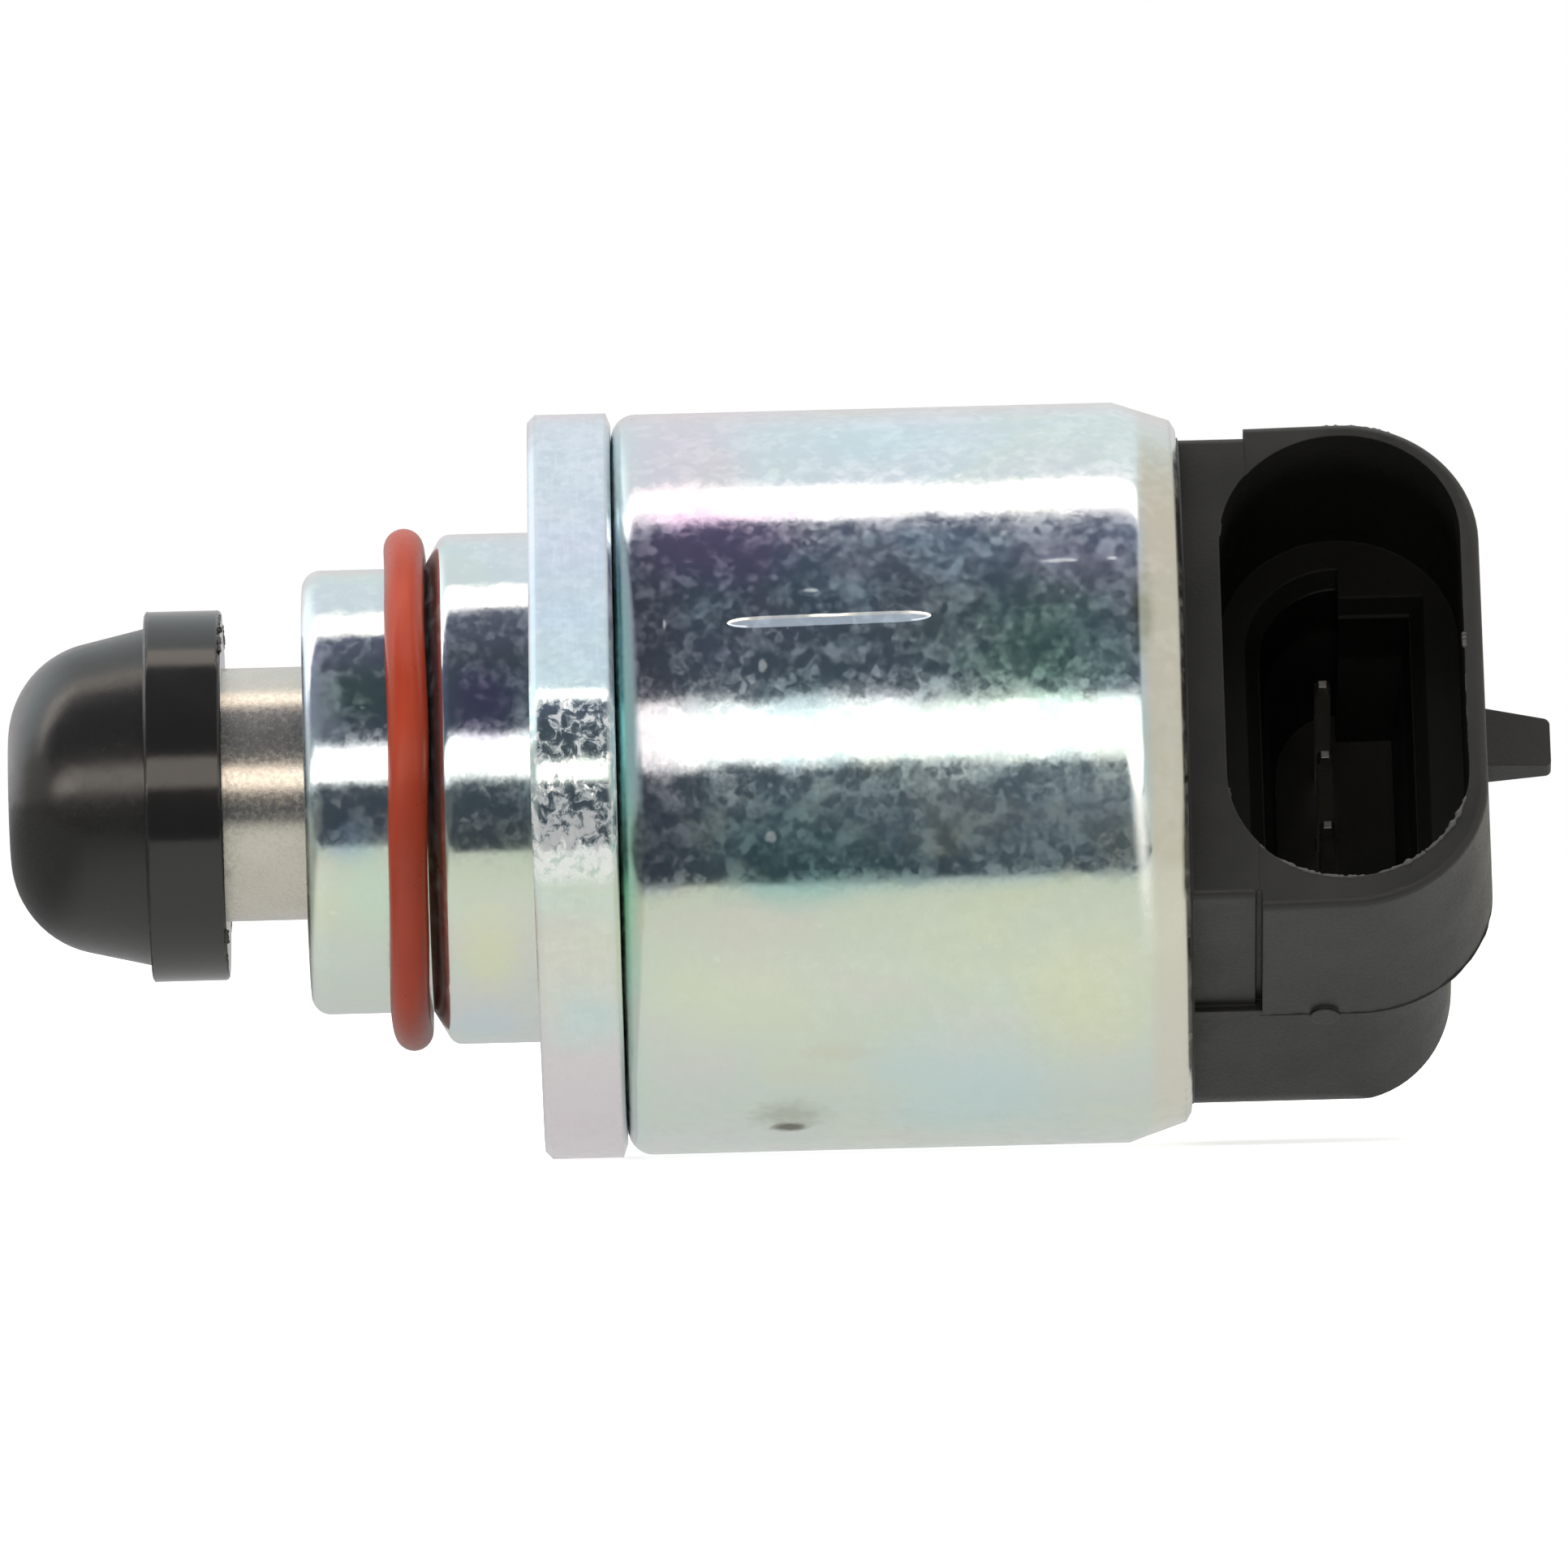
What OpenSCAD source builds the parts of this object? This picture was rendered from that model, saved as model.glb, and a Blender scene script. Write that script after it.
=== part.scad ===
// Idle air control valve: a stepper motor in a plated can that moves a pintle along its axis.
// X runs along the valve: the pintle is at -X and the plug socket at +X.
// The origin is on the axis, in the flange's mounting face. The flange's ears lie along Y.

/* [Pintle] */
// Radius of the flat on the pintle's tip
tip_flat_r = 2.35; // [1.9:0.05:2.6]
// Radius that rounds the tip into the dome's side
tip_round = 4; // [3.4:0.1:4.4]
// Slope of the dome's side, in degrees
dome_slope = 13; // [9:1:15]
// Length of the dome, from its tip to the brim
dome_length = 5.63; // [5.2:0.01:6.2]
// Radius of the brim
brim_r = 7.5; // [7.3:0.05:8.2]
// Thickness of the brim along the axis
brim_thick = 3.12; // [2.7:0.02:3.5]
// Round on the brim's edges
brim_edge = 0.18; // [0.1:0.02:0.4]
// Gap between the brim and the nose at rest
nose_gap = 3.3; // [3.2:0.05:3.6]
// Diameter of the sleeve behind the cap
sleeve_d = 10.26; // [9.8:0.02:10.6]
// Wall of the sleeve
sleeve_wall = 0.7; // [0.5:0.05:0.9]
// Round on the sleeve's rear edge
sleeve_edge = 0.23; // [0.1:0.01:0.3]
// Depth of the sleeve's seat in the cap
sleeve_grip = 1.4; // [1.1:0.1:2]
// Length of the sleeve's two guide lugs
lug_length = 1.7; // [1.4:0.1:2]
// Width of a guide lug
lug_width = 2.2; // [1.8:0.1:2.6]
// Height of a guide lug above the sleeve
lug_height = 0.62; // [0.5:0.02:0.7]

/* [Lead screw] */
// Diameter of the lead screw over its thread
screw_d = 4; // [3.6:0.1:4.2]
// Plastic left between the screw's end and the pintle's tip
screw_cover = 2.9; // [2.5:0.1:3.6]
// Round on the screw's end
screw_edge = 0.35; // [0.2:0.05:0.5]
// Radial space around the screw behind its nut
screw_space = 0.25; // [0.15:0.05:0.4]
// How far the pintle moves out from rest
extend_stroke = 5.5; // [5:0.1:5.8]
// How far the pintle moves in from rest
retract_stroke = 3; // [2.6:0.1:3.1]

/* [Nose housing] */
// Diameter of the boss that carries the sealing ring
boss_d = 18; // [17.6:0.1:18.6]
// Distance from the flange face to the front of the boss
boss_reach = 9.3; // [9.1:0.05:9.6]
// Round on the front edge of the boss
boss_edge = 0.75; // [0.4:0.05:0.9]
// Thickness of the nose's front wall
nose_wall = 1; // [0.8:0.05:1.2]
// Diameter of the pilot behind the sealing ring
pilot_d = 20.66; // [20.2:0.02:21]
// Length of the pilot, with its cone
pilot_length = 4.35; // [4.1:0.05:4.5]
// Length of the cone on the front of the pilot
cone_length = 0.75; // [0.5:0.05:0.9]
// Round where the cone meets the pilot
cone_round = 0.6; // [0.3:0.05:0.8]
// Diameter of the bore for the guide bush and the bearing
nose_bore_d = 13; // [12.8:0.05:13.2]
// Wall of the spigot that passes through flange and can
spigot_wall = 1.8; // [1.5:0.1:2]
// Length of the spigot behind the bearing
spigot_lap = 0.4; // [0.2:0.05:0.6]
// Height of the staked collar inside the can
collar_height = 0.9; // [0.6:0.1:1.2]
// Round on the collar
collar_edge = 0.7; // [0.4:0.05:0.8]
// Section diameter of the sealing ring
ring_section = 1.6; // [1.4:0.05:1.8]

/* [Flange] */
// Thickness of the flange plate
flange_thick = 3.35; // [3:0.05:3.6]
// How far the flange's round middle stands out past the can
flange_proud = 0.08; // [0:0.02:0.6]
// Distance between the two screw holes
hole_spacing = 41; // [39:0.5:43]
// Diameter of a screw hole
hole_d = 5.2; // [4.8:0.1:5.6]
// Radius of an ear around its hole
ear_r = 4.9; // [4.5:0.1:5.3]
// Rolled edge that the punch left on the front
die_roll = 0.3; // [0.2:0.05:0.4]
// Length of the torn edge that the punch left on the back
die_break = 0.18; // [0.1:0.02:0.3]
// Depth of that torn edge
die_break_depth = 0.5; // [0.3:0.05:0.6]
// Depth of the recess that centres the nose on the flange
nose_recess = 0.15; // [0.1:0.05:0.3]

/* [Can] */
// Outer diameter of the can
can_d = 30; // [29.6:0.1:30.8]
// Sheet thickness of the can
can_wall = 0.9; // [0.8:0.05:1]
// Round on the can's front edge
can_edge = 1; // [0.6:0.1:1.2]
// Round in the can's inner corner
can_inner_edge = 0.3; // [0.2:0.05:0.5]
// Length of the bevel that is rolled over the end cap
bevel_length = 2.3; // [2:0.1:2.5]
// Depth of the bevel
bevel_depth = 0.78; // [0.7:0.02:0.9]
// Length of the rolled lip's slanted face behind the bevel
lip_length = 0.22; // [0.15:0.01:0.35]
// Thickness of the sheet where it is rolled over the end cap
lip_thick = 0.52; // [0.4:0.01:0.6]
// Width of the lip's flat end
lip_end = 0.15; // [0.1:0.01:0.3]

/* [Bearing] */
// Width of the ball bearing
bearing_width = 3.5; // [3.2:0.1:3.8]
// Bore of the ball bearing
bearing_bore = 6; // [5.8:0.05:6.2]
// Thickness of each bearing ring
race_wall = 0.95; // [0.85:0.05:1]
// Radius of a bearing ball
ball_r = 1; // [0.9:0.02:1.05]
// Number of bearing balls
ball_count = 7; // [6:1:8]
// Distance of the cage from the bearing's sides
cage_inset = 0.5; // [0.4:0.05:0.8]
// Thickness of the cage
cage_thick = 0.8; // [0.6:0.05:0.9]

/* [Motor] */
// Length of one stator half
stator_length = 7.4; // [7.2:0.05:7.6]
// Thickness of the stator's sheet
sheet = 0.8; // [0.7:0.05:0.9]
// Pole teeth on each stator plate
tooth_count = 6; // [5:1:7]
// How much thinner a bent tooth is than the sheet
tooth_thinning = 0.05; // [0.02:0.01:0.1]
// Half width of a pole tooth at its root
tooth_root = 1.5; // [1.2:0.05:1.6]
// Half width of a pole tooth at its tip
tooth_tip = 0.8; // [0.5:0.05:1]
// Gap between a tooth's tip and the plate opposite
tooth_gap = 0.48; // [0.3:0.02:0.8]
// Outer radius of the rotor's magnet
magnet_r = 6.5; // [6.3:0.05:6.6]
// Air gap between magnet and pole teeth
air_gap = 0.3; // [0.25:0.05:0.4]
// How much shorter the magnet is than the stator, at each end
magnet_inset = 0.6; // [0.4:0.05:1]
// Round on the magnet's edges
magnet_edge = 0.4; // [0.2:0.05:0.5]
// Wall of a coil former
former_wall = 0.6; // [0.5:0.05:0.7]
// Gap between the coil formers' rims and the stator cups around them
former_gap = 0.5; // [0.3:0.05:0.8]
// Turns that show on the outside of a coil
coil_rows = 11; // [8:1:13]
// How far the turns lie below the rims of the former
coil_sink = 0.3; // [0.2:0.05:0.5]
// Radius of the rotor's hub
hub_r = 3.6; // [3.5:0.05:3.8]
// Distance of the threaded nut from the stator's front
nut_inset = 1.4; // [1:0.1:2]
// Length of the threaded nut
nut_length = 5.6; // [5:0.1:6]
// Wall of the threaded nut
nut_wall = 0.85; // [0.7:0.05:0.9]
// Space behind the screw when the pintle is fully in
screw_room = 0.6; // [0.4:0.05:0.8]
// Thickness of the hub's closed end
hub_end = 0.6; // [0.4:0.05:0.8]
// How much thinner the rear journal is than the front one
journal_step = 0.1; // [0.05:0.01:0.2]
// Room for the washer between hub and end cap
washer_room = 0.8; // [0.6:0.05:1]
// Thickness of the spring washer
washer_thick = 0.2; // [0.15:0.01:0.3]
// Outer radius of the rear bush
bush_r = 4.6; // [4.3:0.1:5]
// Length of the rear bush
bush_length = 2; // [1.6:0.1:2.2]
// Round on the rear bush's edge
bush_edge = 0.3; // [0.2:0.05:0.4]

/* [End cap] */
// How far the end cap's round back stands out past the plug's neck
back_step = 0.15; // [0.1:0.05:0.3]
// Length of the end cap's back behind the can
back_length = 10.7; // [10.4:0.05:11.2]
// Round on the back's rear edge
back_round = 4.3; // [3.6:0.1:4.6]
// Half height of the back's flat sides
back_flat = 11; // [10.8:0.05:11.3]
// Fillet between flat side and round back
back_fillet = 2; // [1.5:0.1:2.5]
// Section diameter of the seal between end cap and can
cap_seal = 1.2; // [1:0.05:1.3]
// Distance of the seal's groove from the front of the plug
seal_inset = 0.65; // [0.5:0.05:0.9]
// Length of the end cap's plug inside the can
plug_length = 4.5; // [4.2:0.05:5]
// Round on the front edge of the plug
plug_edge = 0.4; // [0.2:0.05:0.6]
// Step of the plug behind the can's lip
plug_step = 0.1; // [0.05:0.01:0.15]

/* [Socket] */
// Angle by which the socket is turned up from -Y, in degrees
socket_tilt = 30; // [26:1:34]
// Distance from the axis to the socket's mouth
mouth_reach = 8.46; // [8.2:0.05:9]
// Distance from the can to the middle of the mouth
mouth_offset = 6.5; // [6.35:0.05:6.8]
// Half height of the shroud
shroud_half = 11.22; // [11.1:0.02:11.5]
// Radius of the shroud's rounded side
shroud_r = 5.6; // [5.55:0.05:5.9]
// Draft of the shroud's rounded side, in degrees
shroud_draft = 1.7; // [1:0.1:3]
// Round on the lip of the mouth
lip_round = 0.35; // [0.2:0.05:0.45]
// Length of the narrower stretch beside the can
neck_length = 2.75; // [2.4:0.05:3.2]
// Step between the narrower stretch and the shroud
neck_step = 0.52; // [0.3:0.02:0.7]
// Width of the groove between them
neck_groove = 0.25; // [0.15:0.05:0.4]
// Radius of the moulded nub on the parting line
nub_r = 0.6; // [0.4:0.05:0.8]
// Distance of the nub from the middle of the mouth
nub_offset = 1.1; // [0.6:0.1:2]
// How far the nub stands proud
nub_height = 0.15; // [0.1:0.01:0.3]
// Depth of the parting line under the socket's middle plane
parting_drop = 0.45; // [0.2:0.05:0.8]
// Half width of the mouth
mouth_r = 4.87; // [4.7:0.02:4.9]
// Half length of the mouth
mouth_half = 10.28; // [10:0.02:10.4]
// How far the mouth sits above the shroud's middle
mouth_shift = 0.32; // [0:0.02:0.4]
// Height of the ledge in the mouth above the parting line
ledge_rise = 0.51; // [0.4:0.01:0.8]
// Half width of the keyed inner pocket
key_half_w = 3.12; // [2.9:0.02:3.3]
// How far the inner pocket sits nearer to the can than the mouth
key_shift = 0.17; // [0:0.01:0.3]
// Width of the flat between the inner pocket's round side and its keyed side
key_flat = 0.2; // [0.1:0.05:0.4]
// Half length of the inner pocket
key_half = 8.42; // [8.2:0.02:8.6]
// How much shorter the keyed side of that pocket is
key_step = 1.37; // [1:0.02:1.6]
// Depth of the inner pocket
key_depth = 9.8; // [9:0.1:10]
// Draft of the inner pocket's walls, as the width lost at its floor
key_draft = 0.7; // [0.3:0.05:0.8]
// Chamfer on the rim of the inner pocket
key_chamfer = 0.55; // [0.3:0.05:0.7]
// Depth of that chamfer for each unit of its width
key_chamfer_slope = 1.3; // [1:0.1:1.6]
// Width of the square terminals
pin_w = 0.64; // [0.5:0.02:0.8]
// Distance between two terminals
pin_pitch = 3.3; // [3.1:0.05:3.5]
// Distance of the terminals' tips below the ledge
pin_drop = 2.4; // [2:0.1:3]
// Length of the taper on a terminal's tip
pin_taper = 0.5; // [0.3:0.02:0.6]
// Width of a terminal's end
pin_end = 0.32; // [0.2:0.02:0.5]
// Plastic between the inner pocket's floor and the terminals' bend
pin_cover = 0.8; // [0.6:0.05:1]
// How far the terminals stand off the mouth's middle, towards the can
pin_offset = 0.66; // [0.4:0.02:0.8]
// Height of the latch on the shroud's rounded side
latch_height = 2.55; // [2:0.05:2.8]
// Width of the latch at its root
latch_width = 2.85; // [2.4:0.05:3]
// Width of the latch at its tip
latch_tip_width = 2.2; // [1.8:0.05:2.4]
// Thickness of the latch at its root
latch_thick = 1.6; // [1.2:0.05:1.8]
// Thickness of the latch at its tip
latch_tip = 0.8; // [0.6:0.05:1]
// Round on the latch's two tip corners
latch_round = 0.27; // [0.15:0.01:0.4]
// Height of the latch above the socket's middle plane
latch_rise = 0.2; // [0:0.05:0.6]

/* [Clearances] */
// Radial running clearance of everything that turns or slides
running = 0.05; // [0.03:0.01:0.08]
// Gap between pieces that are pressed or seated together
seat = 0.02; // [0.01:0.01:0.04]
// Gap between the stator, its formers and the can
stator_fit = 0.1; // [0.05:0.01:0.15]
// Gap between the end cap's plug and the can
plug_fit = 0.15; // [0.1:0.01:0.25]
// Gap between the plug's neck and the can's lip
neck_fit = 0.2; // [0.1:0.01:0.3]
// Gap between a piece that moves and its end stop
stop_gap = 0.1; // [0.05:0.01:0.2]
// Gap between pieces that must not touch
air = 0.3; // [0.2:0.05:0.4]

/* [Hidden] */
$fn = 96;

// The socket's terminals
pin_count = 4;
// By how much joined shapes overlap, how far a cut passes a face, and a length beyond every part
lap = 0.01;
through = 1;
far = 60;

// Places along the axis, from the nose back to the socket
nose_x = -boss_reach;
brim_x = nose_x - nose_gap;
dome_x = brim_x - brim_thick;
tip_x = dome_x - dome_length;
nose_floor_x = nose_x + nose_wall;
sleeve_front_x = brim_x - sleeve_grip;
sleeve_rear_x = nose_floor_x + stop_gap + extend_stroke + lug_length;
bearing_x = sleeve_rear_x + retract_stroke + air + stop_gap;
bearing_rear_x = bearing_x + bearing_width;
spigot_rear_x = bearing_rear_x + spigot_lap;
can_x = flange_thick + seat;
can_floor_x = can_x + can_wall;
stator_x = spigot_rear_x + air;
stator_mid_x = stator_x + stator_length;
stator_rear_x = stator_mid_x + stator_length;
plug_x = stator_rear_x + air;
can_rear_x = plug_x + plug_length;
plug_rear_x = can_rear_x + plug_step;
lip_x = can_rear_x - lip_length;
bevel_x = lip_x - bevel_length;
nut_x = stator_x + nut_inset;
nut_rear_x = nut_x + nut_length;
screw_front_x = tip_x + screw_cover;
screw_rear_x = nut_rear_x + extend_stroke + stop_gap;
hub_shoulder_x = plug_x - washer_room;
hub_floor_x = screw_rear_x + retract_stroke + screw_room;
hub_rear_x = hub_floor_x + hub_end;
bush_pocket_x = max(plug_x + bush_length, hub_rear_x + air);

// Radii shared by pieces that fit together
sleeve_r = sleeve_d / 2;
guide_r = sleeve_r + running;
lug_tip_r = sleeve_r + lug_height;
nose_bore_r = nose_bore_d / 2;
spigot_r = nose_bore_r + spigot_wall;
pilot_r = pilot_d / 2;
boss_r = boss_d / 2;
ring_r = ring_section / 2;
can_r = can_d / 2;
can_inner_r = can_r - can_wall;
flange_r = can_r + flange_proud;
journal_r = bearing_bore / 2;
rear_journal_r = journal_r - journal_step;
screw_r = screw_d / 2;
nut_bore_r = screw_r + running;
nut_r = screw_r + nut_wall;
hub_bore_r = screw_r + screw_space;
ball_path_r = (journal_r + nose_bore_r) / 2;
stator_r = can_inner_r - stator_fit;
former_r = stator_r - sheet - former_gap;
tooth_r = magnet_r + air_gap;
tooth_thick = sheet - tooth_thinning;
half_pitch = 180 / tooth_count;
former_inner_r = tooth_r + tooth_thick + stator_fit;
coil_inner_r = former_inner_r + former_wall + seat;
plug_r = can_inner_r - plug_fit;
rim_r = can_r - bevel_depth - lip_thick;
neck_r = rim_r - neck_fit;
back_r = neck_r + back_step;

// Places in the socket's own frame
mouth_x = can_rear_x + mouth_offset;
neck_end = can_rear_x + neck_length;
key_x = mouth_x - key_shift;
ledge_z = ledge_rise - parting_drop;
key_floor_z = ledge_z - key_depth;
pin_x = mouth_x - pin_offset;
pin_tip_z = ledge_z - pin_drop;
pin_bend_z = key_floor_z - pin_cover - pin_w / 2;
seal_r = cap_seal / 2;
seal_x = plug_x + seal_inset + seal_r;

// A solid of revolution about the valve's axis, from a profile drawn as x along, y outward
module turned() rotate([0, 90, 0]) rotate_extrude() mirror([1, -1, 0]) children();

// A rectangle in such a profile, between two places and two radii
module span(x0, x1, r0, r1) translate([x0, r0]) square([x1 - x0, r1 - r0]);

// What a round takes off an outline: the wedge between two angles, outside the round's circle
module round_off(x, r, radius, from, to) {
    mid = (from + to) / 2;
    translate([x, r]) difference() {
        polygon([[0, 0], for (a = [from, mid, to]) 1.6 * radius * [cos(a), sin(a)]]);
        circle(radius);
    }
}

// The same for a square corner at x, r that points outward and towards side, -1 or 1 along x
module corner(x, r, radius, side)
    round_off(x - side * radius, r - radius, radius, side < 0 ? 90 : 0, side < 0 ? 180 : 90);

module around(count) for (i = [0 : count - 1]) rotate([i * 360 / count, 0, 0]) children();

// The socket's frame: x along the valve, y along the mouth, z out of the mouth
module socket_frame() rotate([90 - socket_tilt, 0, 0]) children();

module pintle_cap() color("#1c1c1e") {
    slope_x = tip_x + tip_round * (1 - sin(dome_slope));
    slope_r = tip_flat_r + tip_round * cos(dome_slope);
    base_r = slope_r + (dome_x - slope_x) * tan(dome_slope);
    turned() difference() {
        polygon([[tip_x, 0], [tip_x, slope_r - (slope_x - tip_x) * tan(dome_slope)], [dome_x, base_r],
            [dome_x, brim_r], [brim_x, brim_r], [brim_x, 0]]);
        round_off(tip_x + tip_round, tip_flat_r, tip_round, 90 + dome_slope, 180);
        corner(dome_x, brim_r, brim_edge, -1);
        corner(brim_x, brim_r, brim_edge, 1);
        span(sleeve_front_x - seat, brim_x + through, -through, sleeve_r + seat);
        span(screw_front_x - seat, brim_x + through, -through, screw_r + seat);
    }
}

module pintle_sleeve() color("#b9b4a8") {
    turned() difference() {
        span(sleeve_front_x, sleeve_rear_x, sleeve_r - sleeve_wall, sleeve_r);
        corner(sleeve_rear_x, sleeve_r, sleeve_edge, 1);
    }
    turned() span(sleeve_front_x, sleeve_front_x + sleeve_wall, screw_r + seat,
        sleeve_r - sleeve_wall + lap);
    intersection() {
        turned() span(sleeve_rear_x - lug_length, sleeve_rear_x - sleeve_edge,
            sleeve_r - sleeve_wall / 2, lug_tip_r);
        translate([sleeve_front_x, -lug_width / 2, -far / 2]) cube([far, lug_width, far]);
    }
}

module lead_screw() color("#9a9ca0")
    turned() difference() {
        span(screw_front_x, screw_rear_x, 0, screw_r);
        corner(screw_rear_x, screw_r, screw_edge, 1);
    }

// The turned nose: boss, cone, pilot, and the spigot that is staked over inside the can
module nose_housing() color("#b7c4c2") {
    slant = atan2(pilot_r - boss_r, cone_length);
    round_x = cone_length - pilot_length + cone_round * tan(slant / 2);
    collar_x = can_floor_x + seat;
    collar_r = spigot_r + collar_height;
    turned() difference() {
        polygon([[nose_x, 0], [nose_x, boss_r], [-pilot_length, boss_r],
            [cone_length - pilot_length, pilot_r], [nose_recess, pilot_r], [nose_recess, spigot_r],
            [collar_x, spigot_r], [collar_x, collar_r], [collar_x + collar_height, collar_r],
            [collar_x + collar_height, spigot_r], [spigot_rear_x, spigot_r], [spigot_rear_x, 0]]);
        corner(nose_x, boss_r, boss_edge, -1);
        round_off(round_x, pilot_r - cone_round, cone_round, 90, 90 + slant);
        corner(collar_x + collar_height, collar_r, collar_edge, 1);
        span(nose_x - through, far, -through, guide_r + running);
        span(nose_floor_x, far, -through, nose_bore_r);
    }
}

module sealing_ring() color("#b8432c")
    turned() translate([-pilot_length - ring_r - seat, boss_r + ring_r]) circle(ring_r);

// The flange's edge in profile, out to a radius: rolled by the punch in front, torn off behind
function flange_edge(r) = [[0, r - die_roll], [die_roll, r], [flange_thick - die_break, r],
    [flange_thick, r - die_break_depth]];

// A disc with that edge, a part of the flange's outline
module flange_disc(r) turned() polygon(concat([[0, 0]], flange_edge(r), [[flange_thick, 0]]));

// The plate: a round middle and two ears, joined by straight edges tangent to both
module flange_plate() color("#b9c9cc") {
    reach = hole_spacing / 2;
    step = flange_r - ear_r;
    lean = asin(step / reach);
    inner = step - through;
    difference() {
        union() {
            flange_disc(flange_r);
            for (side = [-1, 1]) translate([0, side * reach, 0]) flange_disc(ear_r);
            for (side = [0, 1], edge = [0, 1]) mirror([0, side, 0]) mirror([0, 0, edge])
                rotate([-lean, 0, 0]) rotate([90, 0, 180]) linear_extrude(reach * cos(lean))
                    mirror([1, 0])
                        polygon(concat([[0, inner]], flange_edge(flange_r), [[flange_thick, inner]]));
            rotate([90, 0, 90]) linear_extrude(flange_thick) polygon([[-reach, 0],
                [-step * sin(lean), step * cos(lean)], [step * sin(lean), step * cos(lean)],
                [reach, 0], [step * sin(lean), -step * cos(lean)],
                [-step * sin(lean), -step * cos(lean)]]);
        }
        turned() span(-through, far, 0, spigot_r + seat);
        turned() span(-through, nose_recess, 0, pilot_r + seat);
        for (side = [-1, 1]) translate([0, side * reach, 0]) turned() span(-through, far, 0, hole_d / 2);
    }
}

// The drawn can, with its rear edge rolled over the end cap
module motor_can() color("#a9b6b4") {
    turned() difference() {
        polygon([[can_x, 0], [can_x, can_r], [bevel_x, can_r], [lip_x, can_r - bevel_depth],
            [can_rear_x, rim_r + lip_end], [can_rear_x, 0]]);
        corner(can_x, can_r, can_edge, -1);
        span(0, far, -through, spigot_r + seat);
        difference() {
            polygon([[can_floor_x, -through], [can_floor_x, can_inner_r], [bevel_x, can_inner_r],
                [lip_x, rim_r], [far, rim_r], [far, -through]]);
            corner(can_floor_x, can_inner_r, can_inner_edge, -1);
        }
    }
}

// Plastic liner that guides the sleeve, with a groove for each lug
module guide_bush() color("#d9d4c4") difference() {
    turned() span(nose_floor_x + seat, bearing_x - seat, guide_r, nose_bore_r - seat);
    translate([nose_floor_x - through, -lug_width / 2 - running, -lug_tip_r - running])
        cube([far, lug_width + 2 * running, 2 * (lug_tip_r + running)]);
}

module race(r0, r1) turned() difference() {
    span(bearing_x + seat, bearing_rear_x - seat, r0, r1);
    translate([bearing_x + bearing_width / 2, ball_path_r]) circle(ball_r + running);
}

module bearing_outer_race() color("#8f9296") race(nose_bore_r - seat - race_wall, nose_bore_r - seat);

module bearing_inner_race() color("#8f9296") race(journal_r + seat, journal_r + seat + race_wall);

module bearing_balls() color("#c9ccd0") around(ball_count)
    translate([bearing_x + bearing_width / 2, 0, ball_path_r]) sphere(ball_r);

module bearing_cage() color("#6b4a2a") difference() {
    turned() span(bearing_x + cage_inset, bearing_rear_x - cage_inset, ball_path_r - cage_thick / 2,
        ball_path_r + cage_thick / 2);
    around(ball_count) translate([bearing_x + bearing_width / 2, 0, ball_path_r]) sphere(ball_r + running);
}

// The pole teeth of one stator plate, bent out of its disc along +X
module teeth() around(tooth_count) intersection() {
    turned() span(sheet / 2, stator_length - sheet - tooth_gap, tooth_r, tooth_r + tooth_thick);
    linear_extrude(far / 2) polygon([[0, -tooth_root], [0, tooth_root],
        [stator_length - sheet, tooth_tip], [stator_length - sheet, -tooth_tip]]);
}

module stator_disc(r) turned() span(0, sheet, tooth_r, r);

// The outer half of a stator pair: disc, pole teeth and the wall that carries the flux back
module stator_cup() {
    stator_disc(stator_r);
    turned() span(sheet - lap, stator_length - seat, stator_r - sheet, stator_r);
    teeth();
}

// The inner half of a stator pair: disc and pole teeth, seated inside the cup's wall
module stator_plate() {
    stator_disc(stator_r - sheet - seat);
    teeth();
}

module stator_cup_front() color("#7d8388") translate([stator_x, 0, 0]) stator_cup();

module stator_plate_front() color("#8a9095") translate([stator_mid_x - seat, 0, 0])
    rotate([half_pitch, 0, 0]) mirror([1, 0, 0]) stator_plate();

module stator_plate_rear() color("#8a9095") translate([stator_mid_x + seat, 0, 0])
    rotate([half_pitch * 1.5, 0, 0]) stator_plate();

module stator_cup_rear() color("#7d8388") translate([stator_rear_x, 0, 0])
    rotate([half_pitch / 2, 0, 0]) mirror([1, 0, 0]) stator_cup();

module former() turned() {
    span(sheet + seat, stator_length - sheet - 2 * seat, former_inner_r, former_inner_r + former_wall);
    span(sheet + seat, sheet + seat + former_wall, former_inner_r, former_r);
    span(stator_length - sheet - 2 * seat - former_wall, stator_length - sheet - 2 * seat,
        former_inner_r, former_r);
}

// The winding: a copper ring whose outer turns show as ridges
module coil() {
    x0 = sheet + former_wall + 2 * seat;
    x1 = stator_length - sheet - former_wall - 3 * seat;
    wire = (x1 - x0) / coil_rows;
    turned() {
        span(x0, x1, coil_inner_r, former_r - coil_sink - wire / 2);
        for (i = [0 : coil_rows - 1]) translate([x0 + wire * (i + 0.5), former_r - coil_sink - wire / 2])
            circle((wire - lap) / 2);
    }
}

module former_front() color("#e8e2d0") translate([stator_x, 0, 0]) former();
module former_rear() color("#e8e2d0") translate([stator_rear_x, 0, 0]) mirror([1, 0, 0]) former();
module coil_front() color("#a4562a") translate([stator_x, 0, 0]) coil();
module coil_rear() color("#a4562a") translate([stator_rear_x, 0, 0]) mirror([1, 0, 0]) coil();

module rotor_magnet() color("#3a3a3d")
    turned() difference() {
        span(stator_x + magnet_inset, stator_rear_x - magnet_inset, hub_r + seat, magnet_r);
        corner(stator_x + magnet_inset, magnet_r, magnet_edge, -1);
        corner(stator_rear_x - magnet_inset, magnet_r, magnet_edge, 1);
    }

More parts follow.
